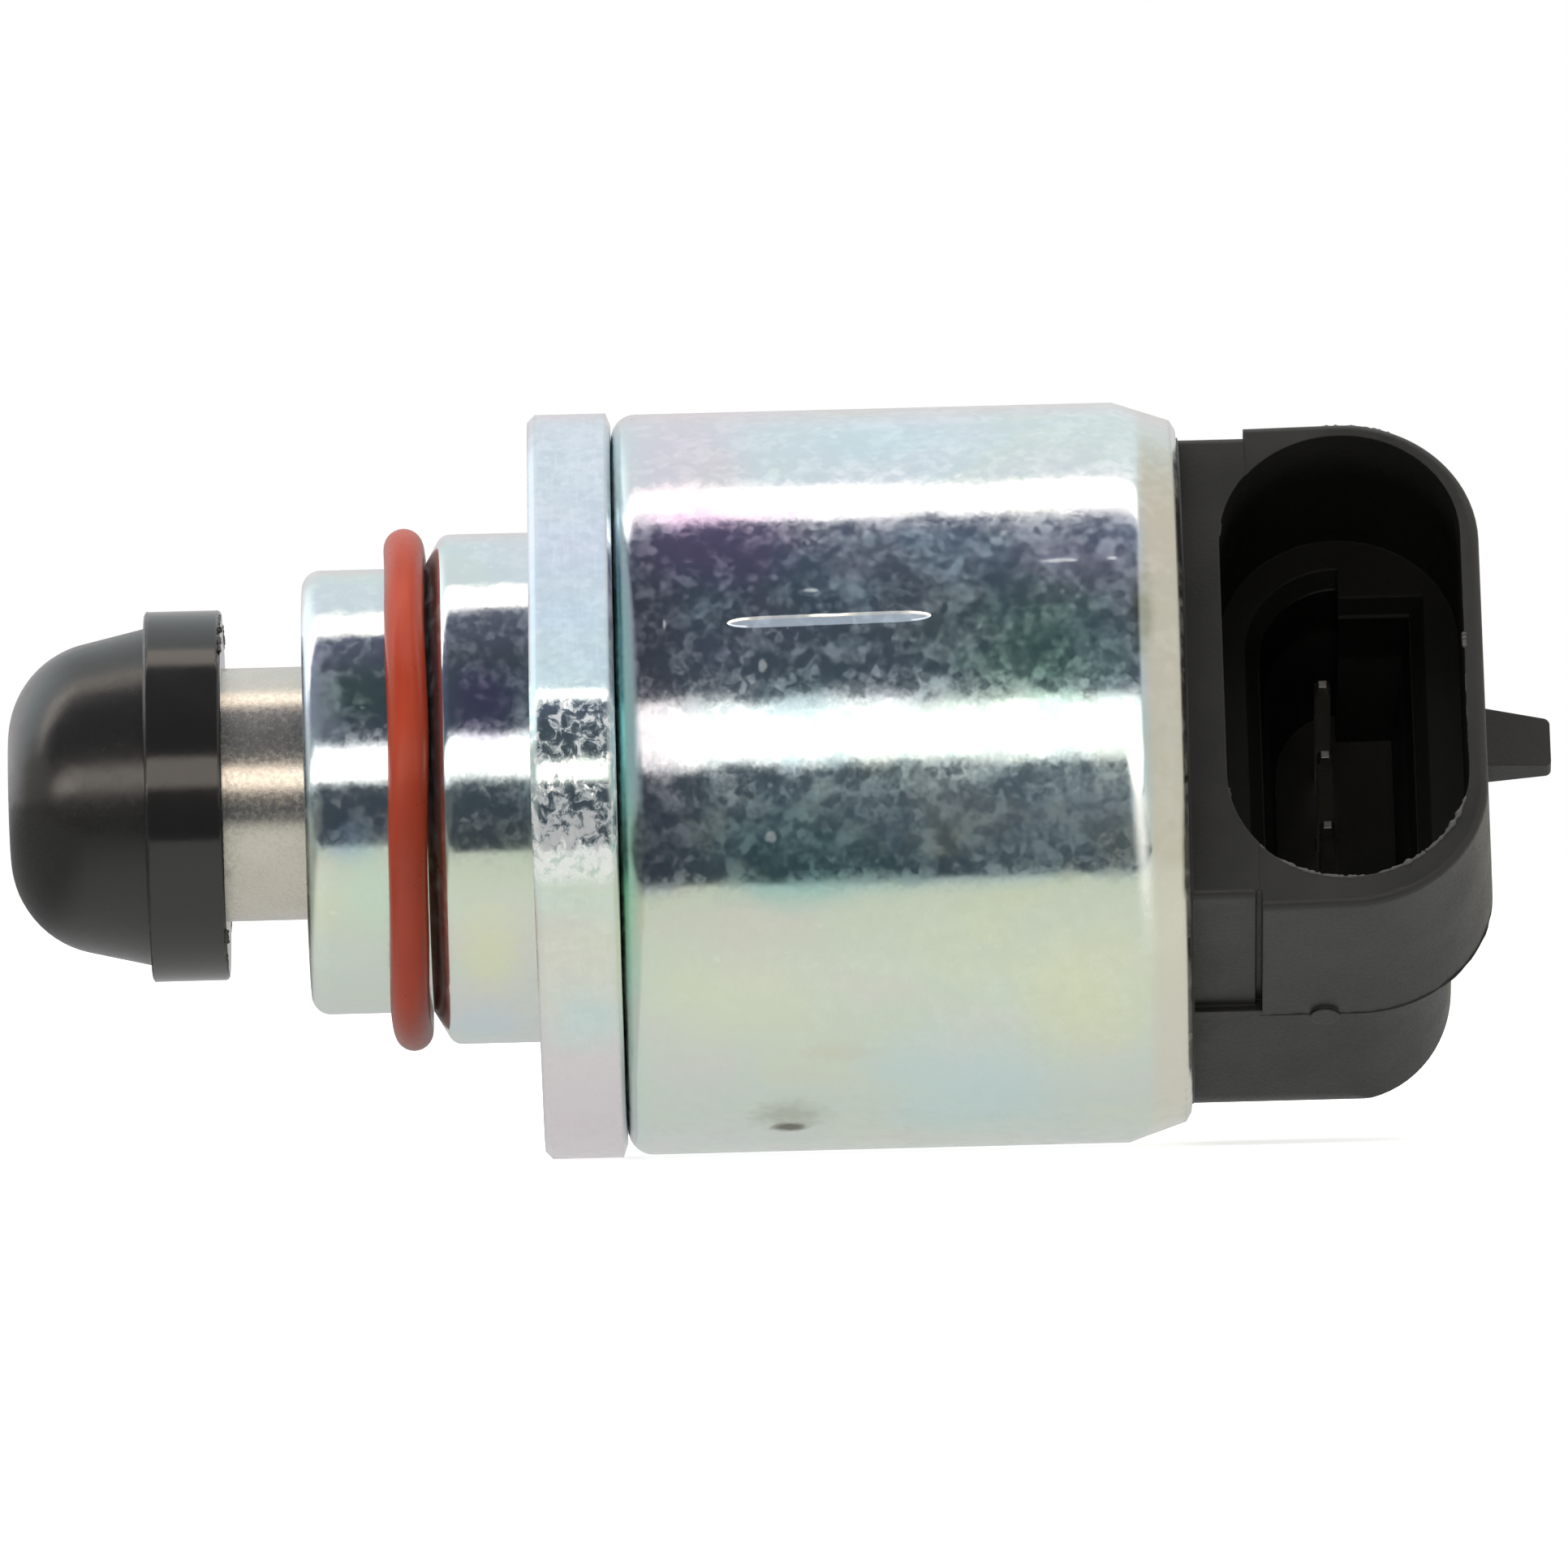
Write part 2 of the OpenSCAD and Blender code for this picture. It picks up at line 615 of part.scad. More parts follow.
// Moulded hub that joins magnet, nut and both journals
module rotor_hub() color("#4a4d52") turned() difference() {
    union() {
        span(bearing_x + stop_gap, bearing_rear_x + seat, 0, journal_r);
        span(bearing_rear_x + seat, hub_shoulder_x, 0, hub_r);
        span(hub_shoulder_x - lap, hub_rear_x, 0, rear_journal_r);
    }
    span(0, hub_floor_x, 0, hub_bore_r);
    span(nut_x - seat, nut_rear_x + seat, 0, nut_r + seat);
}

module nut_insert() color("#b08d3c") turned() span(nut_x, nut_rear_x, nut_bore_r, nut_r);

module rear_bush() color("#a8794a") turned() difference() {
    span(plug_x, plug_x + bush_length - seat, rear_journal_r + running, bush_r);
    corner(plug_x, bush_r, bush_edge, -1);
}

// A coned spring washer that takes up the rotor's end play
module preload_washer() color("#b0b3b8") turned()
    polygon([[hub_shoulder_x + stop_gap, rear_journal_r + air],
        [hub_shoulder_x + stop_gap + washer_thick, rear_journal_r + air],
        [plug_x - running, bush_r - washer_thick], [plug_x - running - washer_thick, bush_r - washer_thick]]);

module cap_seal_ring() color("#2b2b2d")
    turned() translate([seal_x, can_inner_r - seat - seal_r]) circle(seal_r);

// Outline of a stadium with its long way along y
module stadium(r, half) {
    for (s = [-1, 1]) translate([0, s * (half - r)]) circle(r);
    translate([-r, r - half]) square([2 * r, 2 * (half - r)]);
}

// A stretch of the shroud across the valve, its lip rounded, with the mouth plane at z = 0
module shroud_stretch(x0, x1, half, depth) translate([x0, 0, -depth]) rotate([90, 0, 90])
    linear_extrude(x1 - x0) difference() {
        translate([-half, 0]) square([2 * half, depth]);
        corner(half, depth, lip_round, 1);
        corner(-half, depth, lip_round, -1);
    }

// The shroud behind the neck: a straight stretch and the rounded side, leaning by the draft
module shroud_body() {
    depth = mouth_reach + parting_drop + through;
    intersection() {
        translate([mouth_x, 0, mouth_reach]) rotate([0, -shroud_draft, 0]) {
            shroud_stretch(neck_end - mouth_x - through, 0, shroud_half, depth);
            for (s = [-1, 1]) translate([0, s * (shroud_half - shroud_r), -depth])
                rotate_extrude() difference() {
                    square([shroud_r, depth]);
                    corner(shroud_r, depth, lip_round, 1);
                }
            translate([0, 0, -depth]) rotate([90, 0, 0])
                linear_extrude(2 * (shroud_half - shroud_r), center = true) difference() {
                    square([shroud_r, depth]);
                    corner(shroud_r, depth, lip_round, 1);
                }
        }
        translate([neck_end, -far / 2, -parting_drop]) cube(far);
    }
}

// The round back below the parting line, flat at its two sides and rounded at the rear
module cap_back() {
    back_x = can_rear_x + back_length;
    fillet_y = back_flat - back_fillet;
    fillet_z = -sqrt(pow(back_r - back_fillet, 2) - pow(fillet_y, 2));
    intersection() {
        translate([can_rear_x, 0, 0]) rotate([90, 0, 90]) linear_extrude(back_length) union() {
            translate([-back_flat, fillet_z]) square([2 * back_flat, -parting_drop - fillet_z]);
            for (s = [-1, 1]) translate([s * fillet_y, fillet_z]) circle(back_fillet);
            intersection() {
                circle(back_r);
                polygon([[0, 0], [-2 * fillet_y, 2 * fillet_z], [2 * fillet_y, 2 * fillet_z]]);
            }
        }
        turned() difference() {
            span(can_rear_x - through, back_x, 0, back_r);
            corner(back_x, back_r, back_round, 1);
        }
        translate([0, 0, -far / 2]) linear_extrude(far) {
            translate([can_rear_x - through, -far / 2])
                square([back_length + through - back_round, far]);
            translate([can_rear_x, back_round - back_flat])
                square([back_length, 2 * (back_flat - back_round)]);
            for (s = [-1, 1]) translate([back_x - back_round, s * (back_flat - back_round)])
                circle(back_round);
        }
    }
}

// The plug that closes the can: seal groove, shoulder under the rolled edge, neck, bush pocket
module cap_plug() turned() difference() {
    polygon([[plug_x, 0], [plug_x, plug_r], [bevel_x, plug_r], [lip_x, neck_r], [plug_rear_x, neck_r],
        [plug_rear_x, 0]]);
    corner(plug_x, plug_r, plug_edge, -1);
    span(plug_x - through, bush_pocket_x, -through, rear_journal_r + air);
    span(plug_x - through, plug_x + bush_length, -through, bush_r + seat);
    span(seal_x - seal_r - running, seal_x + seal_r + running, can_inner_r - 2 * seat - cap_seal, far);
}

// Outline of the inner pocket: rounded on the can's side, shorter and square on the key's side
module key_outline(grow = 0) {
    half_w = key_half_w + grow;
    half = key_half + grow;
    intersection() {
        translate([key_flat, 0]) stadium(half_w + key_flat, half);
        translate([-half_w, -half]) square([half_w + key_flat, 2 * half]);
    }
    translate([key_flat - lap, key_step - half]) square([half_w - key_flat + lap, 2 * (half - key_step)]);
}

// A stretch of the inner pocket from z0 down, from one outline to that outline scaled
module key_taper(z0, depth, grow, lost) translate([key_x, mouth_shift, z0]) mirror([0, 0, 1])
    linear_extrude(depth, slices = 1, scale = [1 - lost / (key_half_w + grow), 1 - lost / (key_half + grow)])
        key_outline(grow, $fn = 48);

// The stepped socket: the outer pocket, then the keyed pocket that tapers to its floor
module socket_pockets() {
    translate([mouth_x, mouth_shift, ledge_z]) linear_extrude(far) stadium(mouth_r, mouth_half);
    key_taper(ledge_z + lap, key_depth + lap, 0, key_draft);
    key_taper(ledge_z + lap, key_chamfer * key_chamfer_slope, key_chamfer, key_chamfer);
}

// The catch that holds the mating plug, on the shroud's rounded side: it thins and narrows to its tip
module latch() {
    root_x = mouth_x + shroud_r - latch_tip;
    end_x = mouth_x + shroud_r + mouth_reach * tan(shroud_draft) + latch_height;
    translate([0, mouth_shift, latch_rise]) intersection() {
        rotate([90, 0, 0]) linear_extrude(far, center = true)
            polygon([[root_x, 0], [end_x, 0], [end_x, latch_tip], [root_x, latch_thick]]);
        linear_extrude(far) {
            polygon([[root_x, -latch_width / 2], [end_x - latch_round, -latch_tip_width / 2],
                [end_x - latch_round, latch_tip_width / 2], [root_x, latch_width / 2]]);
            for (s = [-1, 1]) translate([end_x - latch_round, s * (latch_tip_width / 2 - latch_round)])
                circle(latch_round);
            translate([end_x - latch_round, latch_round - latch_tip_width / 2])
                square([latch_round, latch_tip_width - 2 * latch_round]);
        }
    }
}

module end_cap() color("#2a2a2b") difference() {
    union() {
        cap_plug();
        socket_frame() {
            difference() {
                union() {
                    translate([0, 0, mouth_reach]) shroud_stretch(can_rear_x, neck_end + lap,
                        shroud_half - neck_step, mouth_reach + parting_drop);
                    shroud_body();
                    cap_back();
                    latch();
                    translate([mouth_x - nub_offset, -shroud_half - nub_height, -parting_drop])
                        rotate([-90, 0, 0]) cylinder(r = nub_r, h = through);
                }
                translate([neck_end - neck_groove / 2, -shroud_half - through, -parting_drop])
                    cube([neck_groove, through + neck_step + neck_groove, far]);
            }
        }
    }
    socket_frame() socket_pockets();
    for (i = [0 : pin_count - 1]) terminal(i);
}

// A square pin that stands in the socket, turns a corner in the end cap and runs to the coils
module terminal(i) socket_frame()
    translate([0, mouth_shift + ((pin_count - 1) / 2 - i) * pin_pitch, 0]) {
        intersection() {
            rotate([90, 0, 0]) linear_extrude(pin_w, center = true) pin_side(pin_x);
            translate([pin_x - pin_w, 0, 0]) rotate([90, 0, 90]) linear_extrude(2 * pin_w) pin_side(0);
        }
        translate([plug_x, -pin_w / 2, pin_bend_z - pin_w / 2])
            cube([pin_x - plug_x + pin_w / 2, pin_w, pin_w]);
    }

// Side view of a terminal's upright, with its tapered tip
module pin_side(x) {
    foot_z = pin_bend_z - pin_w / 2;
    polygon([[x - pin_w / 2, foot_z], [x + pin_w / 2, foot_z], [x + pin_w / 2, pin_tip_z - pin_taper],
        [x + pin_end / 2, pin_tip_z], [x - pin_end / 2, pin_tip_z], [x - pin_w / 2, pin_tip_z - pin_taper]]);
}

module terminal_1() color("#c9b98a") terminal(0);
module terminal_2() color("#c9b98a") terminal(1);
module terminal_3() color("#c9b98a") terminal(2);
module terminal_4() color("#c9b98a") terminal(3);

pintle_cap();
pintle_sleeve();
lead_screw();
nose_housing();
sealing_ring();
flange_plate();
motor_can();
guide_bush();
bearing_outer_race();
bearing_inner_race();
bearing_balls();
bearing_cage();
stator_cup_front();
stator_plate_front();
stator_plate_rear();
stator_cup_rear();
former_front();
former_rear();
coil_front();
coil_rear();
rotor_magnet();
rotor_hub();
nut_insert();
rear_bush();
preload_washer();
cap_seal_ring();
end_cap();
terminal_1();
terminal_2();
terminal_3();
terminal_4();
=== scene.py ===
import math
import random

import bpy
from mathutils import Euler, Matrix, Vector


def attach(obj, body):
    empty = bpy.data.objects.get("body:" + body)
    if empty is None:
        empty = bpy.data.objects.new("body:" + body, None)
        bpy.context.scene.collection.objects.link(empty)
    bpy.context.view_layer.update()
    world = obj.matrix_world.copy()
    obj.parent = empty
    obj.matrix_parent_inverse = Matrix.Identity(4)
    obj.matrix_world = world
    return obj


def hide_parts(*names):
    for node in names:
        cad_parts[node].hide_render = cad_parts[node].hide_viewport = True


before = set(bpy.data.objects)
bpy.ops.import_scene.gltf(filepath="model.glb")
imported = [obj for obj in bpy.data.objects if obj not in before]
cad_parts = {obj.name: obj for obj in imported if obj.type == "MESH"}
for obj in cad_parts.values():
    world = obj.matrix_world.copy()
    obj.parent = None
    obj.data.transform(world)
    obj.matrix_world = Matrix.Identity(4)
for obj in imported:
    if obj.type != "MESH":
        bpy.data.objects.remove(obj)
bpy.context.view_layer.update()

MM = 0.001

# The camera stands level in front of the valve, a little over a metre away, and is rolled slightly.
PHOTO_X, PHOTO_Z = 10.03 * MM, -0.12 * MM
FRAME_WIDTH = 63.55 * MM
CAMERA_DISTANCE = 1.1
CAMERA_ROLL = math.radians(1.45)

camera_data = bpy.data.cameras.new("camera")
camera_data.sensor_width = 36
camera_data.lens = camera_data.sensor_width * CAMERA_DISTANCE / FRAME_WIDTH
camera_data.clip_start = 0.01
camera = bpy.data.objects.new("camera", camera_data)
camera.location = (PHOTO_X, -CAMERA_DISTANCE, PHOTO_Z)
camera.rotation_euler = Euler((math.pi / 2, CAMERA_ROLL, 0), "XYZ")
bpy.context.scene.collection.objects.link(camera)
bpy.context.scene.camera = camera
bpy.context.scene.view_settings.view_transform = "Standard"

# Sizes and places of the solids in millimetres, by which patterns and small pieces are placed.
CAN_R, BOSS_R, PILOT_R = 15.0, 9.0, 10.33
BEVEL_X = 23.68
CONE_X = -4.1
RING_X, RING_SECTION_R = -5.17, 0.80
BRIM_REAR, BRIM_FRONT, BRIM_R = -12.6, -15.72, 7.5
# The socket's own frame: x along the valve, y along the mouth and up, z out of the mouth.
SOCKET_TURN = math.radians(60)
MOUTH_X, MOUTH_Z, MOUTH_SHIFT, MOUTH_HALF, MOUTH_R = 32.7, 8.46, 0.32, 10.28, 4.87
SHROUD_HALF, SHROUD_R = 11.22, 5.6
SEAM_Z = -0.45
DRAFT = math.tan(math.radians(1.7))


class Tree:
    """Writes a node tree: every method adds a node and returns its output socket."""

    def __init__(self, tree):
        self.tree = tree
        tree.nodes.clear()

    def node(self, kind, inputs=None, **settings):
        node = self.tree.nodes.new("ShaderNode" + kind)
        for name, value in settings.items():
            setattr(node, name, value)
        for name, value in (inputs or {}).items():
            if isinstance(value, bpy.types.NodeSocket):
                self.tree.links.new(value, node.inputs[name])
            else:
                node.inputs[name].default_value = value
        return node

    def math(self, operation, a, b=0.0, c=0.0):
        return self.node("Math", {0: a, 1: b, 2: c}, operation=operation).outputs[0]

    def times(self, *values):
        product = values[0]
        for value in values[1:]:
            product = self.math("MULTIPLY", product, value)
        return product

    def away(self, value, centre):
        return self.math("ABSOLUTE", self.math("SUBTRACT", value, centre))

    def vector(self, operation, a, b=(0, 0, 0), **inputs):
        return self.node("VectorMath", {0: a, 1: b, **inputs}, operation=operation).outputs[0]

    def scaled(self, vector, amount):
        return self.vector("SCALE", vector, Scale=amount)

    def mix(self, factor, a, b):
        node = self.node("Mix", data_type="RGBA")
        for index, value in ((0, factor), (6, a), (7, b)):
            if isinstance(value, bpy.types.NodeSocket):
                self.tree.links.new(value, node.inputs[index])
            else:
                node.inputs[index].default_value = value if index == 0 else (*value, 1)
        return node.outputs[2]

    def map(self, value, low, high, to_low=0.0, to_high=1.0, smooth=True):
        return self.node("MapRange", {"Value": value, "From Min": low, "From Max": high, "To Min": to_low,
                                      "To Max": to_high},
                         interpolation_type="SMOOTHSTEP" if smooth else "LINEAR").outputs[0]

    def ramp(self, value, stops):
        node = self.node("ValToRGB", {"Fac": value})
        elements = node.color_ramp.elements
        while len(elements) < len(stops):
            elements.new(1.0)
        for element, (place, colour) in zip(elements, stops):
            element.position = place
            element.color = (*colour, 1)
        return node.outputs[0]

    def around(self, angle, stops):
        """A colour by angle in radians, from stops in degrees."""
        share = self.map(angle, -math.pi, math.pi, smooth=False)
        return self.ramp(share, [((degrees + 180) / 360, colour) for degrees, colour in stops])

    def noise(self, vector, scale, detail=3.0, rough=0.5, distortion=0.0, colour=False):
        node = self.node("TexNoise", {"Vector": vector, "Scale": scale, "Detail": detail, "Roughness": rough,
                                      "Distortion": distortion})
        return node.outputs[1 if colour else 0]

    def shake(self, vector, scale, detail=3.0, rough=0.5, distortion=0.0):
        """A random vector around zero."""
        noise = self.noise(vector, scale, detail, rough, distortion, colour=True)
        return self.vector("SUBTRACT", noise, (0.5, 0.5, 0.5))

    def cells(self, vector, scale, smooth=0.0):
        """A random brightness for each cell, with soft borders where smooth is above zero."""
        inputs = {"Vector": vector, "Scale": scale}
        if smooth:
            inputs["Smoothness"] = smooth
        node = self.node("TexVoronoi", inputs, feature="SMOOTH_F1" if smooth else "F1")
        return self.node("RGBToBW", {0: node.outputs["Color"]}).outputs[0]


class Surface(Tree):
    """A material with millimetre coordinates of its object and one Principled shader."""

    def __init__(self, name, **shader):
        self.name = name
        self.material = bpy.data.materials.new(name)
        self.material.use_nodes = True
        super().__init__(self.material.node_tree)
        self.shader = self.node("BsdfPrincipled", shader)
        output = self.node("OutputMaterial")
        self.tree.links.new(self.shader.outputs[0], output.inputs[0])
        self.mm = self.scaled(self.node("TexCoord").outputs["Object"], 1000.0)
        parts = self.node("SeparateXYZ", {0: self.mm}).outputs
        self.x, self.y, self.z = parts[0], parts[1], parts[2]
        self.angle = self.math("ARCTAN2", self.z, self.math("MULTIPLY", self.y, -1.0))

    def offset(self, seed):
        return self.vector("ADD", self.mm, (seed * 17.3, seed * 9.1, seed * 5.7))

    def stretched(self, scale, seed):
        return self.vector("MULTIPLY", self.offset(seed), scale)

    def set(self, **sockets):
        for name, value in sockets.items():
            self.tree.links.new(value, self.shader.inputs[name.replace("_", " ")])

    def bump(self, height, distance, normal=None):
        inputs = {"Height": height, "Distance": distance * MM, "Strength": 1.0}
        if normal is not None:
            inputs["Normal"] = normal
        return self.node("Bump", inputs).outputs[0]

    def edge(self, radius):
        return self.node("Bevel", {"Radius": radius * MM}, samples=4).outputs[0]

    def patch(self, x, degrees, radius, half_x, half_arc, soft=0.9, wobble=0.0, scale=2.0):
        """1 inside an ellipse on a cylinder about X, at x and an angle above -Y, and 0 outside."""
        along = self.math("MULTIPLY", self.math("SUBTRACT", self.x, x), 1 / half_x)
        turn = self.math("SUBTRACT", self.angle, math.radians(degrees))
        around = self.math("MULTIPLY", turn, radius / half_arc)
        away = self.math("SQRT", self.math("ADD", self.times(along, along), self.times(around, around)))
        if wobble:
            shift = self.math("SUBTRACT", self.noise(self.mm, scale), 0.5)
            away = self.math("MULTIPLY_ADD", shift, wobble, away)
        return self.map(away, 1.0 - soft, 1.0, 1.0, 0.0)


# The plating's tint around a cylinder: degrees above -Y, and the colour there.
# Painted sheen: the tint follows the angle around the cylinder, standing in for the plating's iridescence as
# it changes with the angle it is seen at, so each mirrored band of the room has its own colour.
TINTS = [
    (-180, (0.80, 0.86, 0.84)), (-120, (0.76, 0.83, 0.82)), (-75, (0.76, 0.83, 0.78)),
    (-50, (0.78, 0.85, 0.76)), (-32, (0.80, 0.87, 0.70)), (-17, (0.80, 0.87, 0.66)),
    (0, (0.60, 0.80, 0.86)), (20, (0.58, 0.74, 0.90)), (40, (0.68, 0.74, 0.90)),
    (56, (0.76, 0.84, 0.88)), (70, (0.76, 0.85, 0.87)), (84, (0.84, 0.84, 0.85)),
    (130, (0.80, 0.84, 0.88)), (180, (0.80, 0.86, 0.84)),
]
# The drift of the tint along the surface, from one end of a noise to the other.
HUES = [(0.32, (0.86, 0.74, 0.86)), (0.44, (0.80, 0.80, 0.84)), (0.52, (0.76, 0.82, 0.80)),
        (0.62, (0.82, 0.84, 0.70)), (0.70, (0.84, 0.78, 0.74))]
# The angle above -Y at which a surface mirrors the bright band in front of the valve.
GLINT_DEGREES = 7.0


class Zinc(Surface):
    """Bright zinc plating: a mirror with a drifting tint, whose crystals lean a little and scatter light."""

    CRYSTAL_DARK, CRYSTAL_LIGHT = 0.38, 0.66

    def __init__(self, name, seed, haze=0.0, wave=0.05):
        super().__init__(name, Metallic=1.0, Roughness=0.1)
        drift = self.noise(self.stretched((0.12, 0.18, 0.18), seed), 1.0, 3.0, 0.55)
        self.tint = self.mix(0.35, self.around(self.angle, TINTS), self.ramp(drift, HUES))
        crystal = self.crystals(seed)
        spark = self.cells(self.offset(seed + 5), 5.0)
        self.haze = self.math("ADD", self.map(crystal, self.CRYSTAL_DARK, self.CRYSTAL_LIGHT), haze)
        self.haze = self.math("ADD", self.haze, self.map(spark, 0.93, 0.95, 0.0, 1.2))
        self.rough = self.map(crystal, self.CRYSTAL_DARK, self.CRYSTAL_LIGHT, 0.09, 0.22)
        self.veil = 0.0
        swell = self.noise(self.stretched((0.14, 0.34, 0.34), seed + 8), 1.0, 2.0, 0.4)
        self.normal = self.bump(swell, wave, self.edge(0.3))
        # The crystals lean less about 28 degrees below -Y, where the plating mirrors the pale floor.
        calm = self.map(self.away(self.angle, math.radians(-28.0)), 0.2, 0.4, 0.2, 1.0)
        wide = self.scaled(self.shake(self.offset(seed + 6), 0.8, 3.0, 0.6), 0.05)
        fine = self.scaled(self.shake(self.offset(seed + 7), 4.5, 3.0, 0.6), 0.034)
        self.push(self.vector("ADD", wide, fine), calm)

    def crystals(self, seed):
        """Patches of light and dark of four sizes, weighed together."""
        layers = ((0.14, self.cells(self.warped(0.35, seed + 1), 1.2, 0.5)),
                  (0.20, self.cells(self.warped(0.15, seed + 2), 2.6, 0.4)),
                  (0.38, self.noise(self.offset(seed + 3), 0.45, 6.0, 0.68)),
                  (0.28, self.noise(self.offset(seed + 4), 4.0, 4.0, 0.7)))
        total = 0.0
        for weight, layer in layers:
            total = self.math("MULTIPLY_ADD", layer, weight, total)
        return total

    def warped(self, amount, seed):
        place = self.offset(seed)
        return self.vector("ADD", place, self.scaled(self.shake(place, 1.3, 2.0), amount))

    # Paints a tint where the mask is 1: real stains, and also painted highlights and reflections.
    def paint_stain_and_light(self, mask, colour, amount=1.0):
        self.tint = self.mix(self.times(mask, amount), self.tint, colour)

    def stain_and_light_patches(self, radius, rows):
        """Soft patches of tint on a cylinder, one for each row of a table such as CAN_STAINS."""
        for x, degrees, half_x, half_arc, wobble, scale, colour, amount in rows:
            mask = self.patch(x, degrees, radius, half_x, half_arc, wobble=wobble, scale=scale)
            self.paint_stain_and_light(mask, colour, amount)

    def fog(self, mask, amount):
        """Scatters more light where the mask is 1, or less with an amount below zero."""
        self.haze = self.math("MULTIPLY_ADD", mask, amount, self.haze)

    def dull(self, mask, amount):
        """Takes away some of the metallic look where the mask is 1."""
        self.veil = self.math("MULTIPLY_ADD", mask, amount, self.veil)

    def push(self, vector, amount):
        """Adds a vector times an amount to the normal."""
        self.normal = self.vector("ADD", self.normal, self.scaled(vector, amount))

    def face(self, mask, degrees):
        """Turns the surface towards an angle above -Y where the mask is 1."""
        target = (0.0, -math.cos(math.radians(degrees)), math.sin(math.radians(degrees)))
        self.push(self.vector("SUBTRACT", target, self.normal), mask)

    def done(self):
        metallic = self.map(self.haze, 0.0, 1.0, 0.975, 0.86, smooth=False)
        metallic = self.math("SUBTRACT", metallic, self.veil)
        self.set(Base_Color=self.tint, Roughness=self.rough, Metallic=metallic,
                 Normal=self.vector("NORMALIZE", self.normal))
        return self


# Stains in the plating, with one painted reflection among the smudges: x, degrees above -Y, half length,
# half width, wobble and its scale, colour, amount.
CAN_STAINS = [
    (6.5, 62, 4.0, 9.0, 0.7, 0.4, (0.88, 0.70, 0.80), 0.55),
    (7.5, 40, 5.5, 4.0, 0.7, 0.4, (0.62, 0.44, 0.74), 0.7),
    (20.0, 20, 5.5, 4.0, 0.8, 0.4, (0.44, 0.76, 0.62), 0.8),
    (11.0, -12, 5.5, 3.0, 0.8, 0.4, (0.42, 0.74, 0.72), 0.8),
    (17.0, -58, 6.0, 6.0, 0.7, 0.4, (0.70, 0.86, 0.88), 0.8),
    (22.0, -38, 4.0, 5.0, 0.7, 0.4, (0.86, 0.88, 0.60), 0.6),
    (8.0, -36, 5.0, 4.0, 0.8, 0.4, (0.86, 0.89, 0.70), 0.5),
    (14.0, 66, 7.0, 3.0, 0.8, 0.3, (0.72, 0.88, 0.94), 0.5),
]
# The first row here is a painted reflection of the dark room band on the bevel's start; the others are
# smudges.
CAN_SMUDGES_AND_BEVEL_REFLECTION = [
    (24.5, 27, 0.75, 3.2, 0.9, 1.2, (0.42, 0.44, 0.34), 0.7),
    (12.0, -47, 2.2, 0.9, 0.9, 2.0, (0.78, 0.74, 0.62), 0.35),
    (9.9, -64, 2.2, 1.8, 0.7, 2.0, (0.52, 0.54, 0.46), 0.75),
]
BOSS_STAINS = [
    (-6.8, 26, 2.4, 2.4, 0.5, 2.0, (0.50, 0.76, 0.62), 0.7),
    (-7.4, -12, 1.8, 1.6, 0.5, 2.0, (0.44, 0.62, 0.84), 0.7),
    (-6.6, -25, 2.0, 3.0, 0.7, 2.0, (0.70, 0.90, 0.76), 0.6),
]
PILOT_STAINS = [
    (-2.0, 20, 2.2, 2.6, 0.5, 2.0, (0.56, 0.40, 0.80), 0.6),
    (-2.0, -40, 2.0, 3.4, 0.7, 2.0, (0.88, 0.90, 0.60), 0.6),
    (-2.4, -68, 2.5, 3.0, 0.7, 2.0, (0.70, 0.82, 0.90), 0.6),
]
# Small pale nicks in the can's plating: x, degrees above -Y, half length and half width.
CAN_NICKS = [(9.3, 18.0, 0.22, 0.38), (9.45, -8.5, 0.3, 0.3), (11.3, 30.5, 0.4, 0.1),
             (21.3, 34.8, 0.9, 0.13), (23.4, 35.0, 0.3, 0.12), (5.4, 25.2, 0.08, 0.3)]
# The long scratch on the can.
SCRATCH_X, SCRATCH_DEGREES, SCRATCH_RISE = 12.0, 25.4, 0.016
SCRATCH_HALF_LENGTH, SCRATCH_HALF_WIDTH = 4.1, 0.28
# The painted highlight along the can's bevel: where it crosses -Y, and how far it moves along for each
# radian.
BEVEL_HIGHLIGHT_X, BEVEL_HIGHLIGHT_SLANT = 24.15, 0.8


def can_scratch(s):
    """A lens-shaped groove along X: a grey bed between edges that glint."""
    along = s.math("SUBTRACT", s.x, SCRATCH_X)
    arc = s.math("MULTIPLY", s.math("SUBTRACT", s.angle, math.radians(SCRATCH_DEGREES)), CAN_R)
    across = s.math("MULTIPLY_ADD", along, -SCRATCH_RISE, arc)
    across = s.math("MULTIPLY_ADD", s.math("SUBTRACT", s.noise(s.mm, 1.5), 0.5), 0.05, across)
    share = s.math("MINIMUM", s.math("ABSOLUTE", s.math("MULTIPLY", along, 1 / SCRATCH_HALF_LENGTH)), 1.0)
    height = s.math("SQRT", s.math("SUBTRACT", 1.0, s.math("POWER", share, 9.0)))
    height = s.math("MULTIPLY", height, SCRATCH_HALF_WIDTH)
    bed = s.map(s.math("SUBTRACT", height, s.math("ABSOLUTE", across)), 0.0, 0.05)
    upper = s.times(bed, s.map(s.math("SUBTRACT", height, across), 0.13, 0.22, 1.0, 0.0))
    lower = s.times(bed, s.map(s.math("ADD", height, across), 0.10, 0.16, 1.0, 0.0))
    s.paint_stain_and_light(bed, (0.50, 0.58, 0.68), 0.8)
    s.dull(bed, 0.35)
    from_middle = s.away(s.x, SCRATCH_X)
    glint = s.times(upper, s.map(s.away(from_middle, 2.0), 0.4, 1.6, 0.55, 1.0))
    s.paint_stain_and_light(glint, (1.0, 0.97, 0.88))
    glint = s.math("MAXIMUM", glint, s.times(lower, s.map(from_middle, 2.9, 3.4)))
    s.face(s.times(glint, 0.8), GLINT_DEGREES)


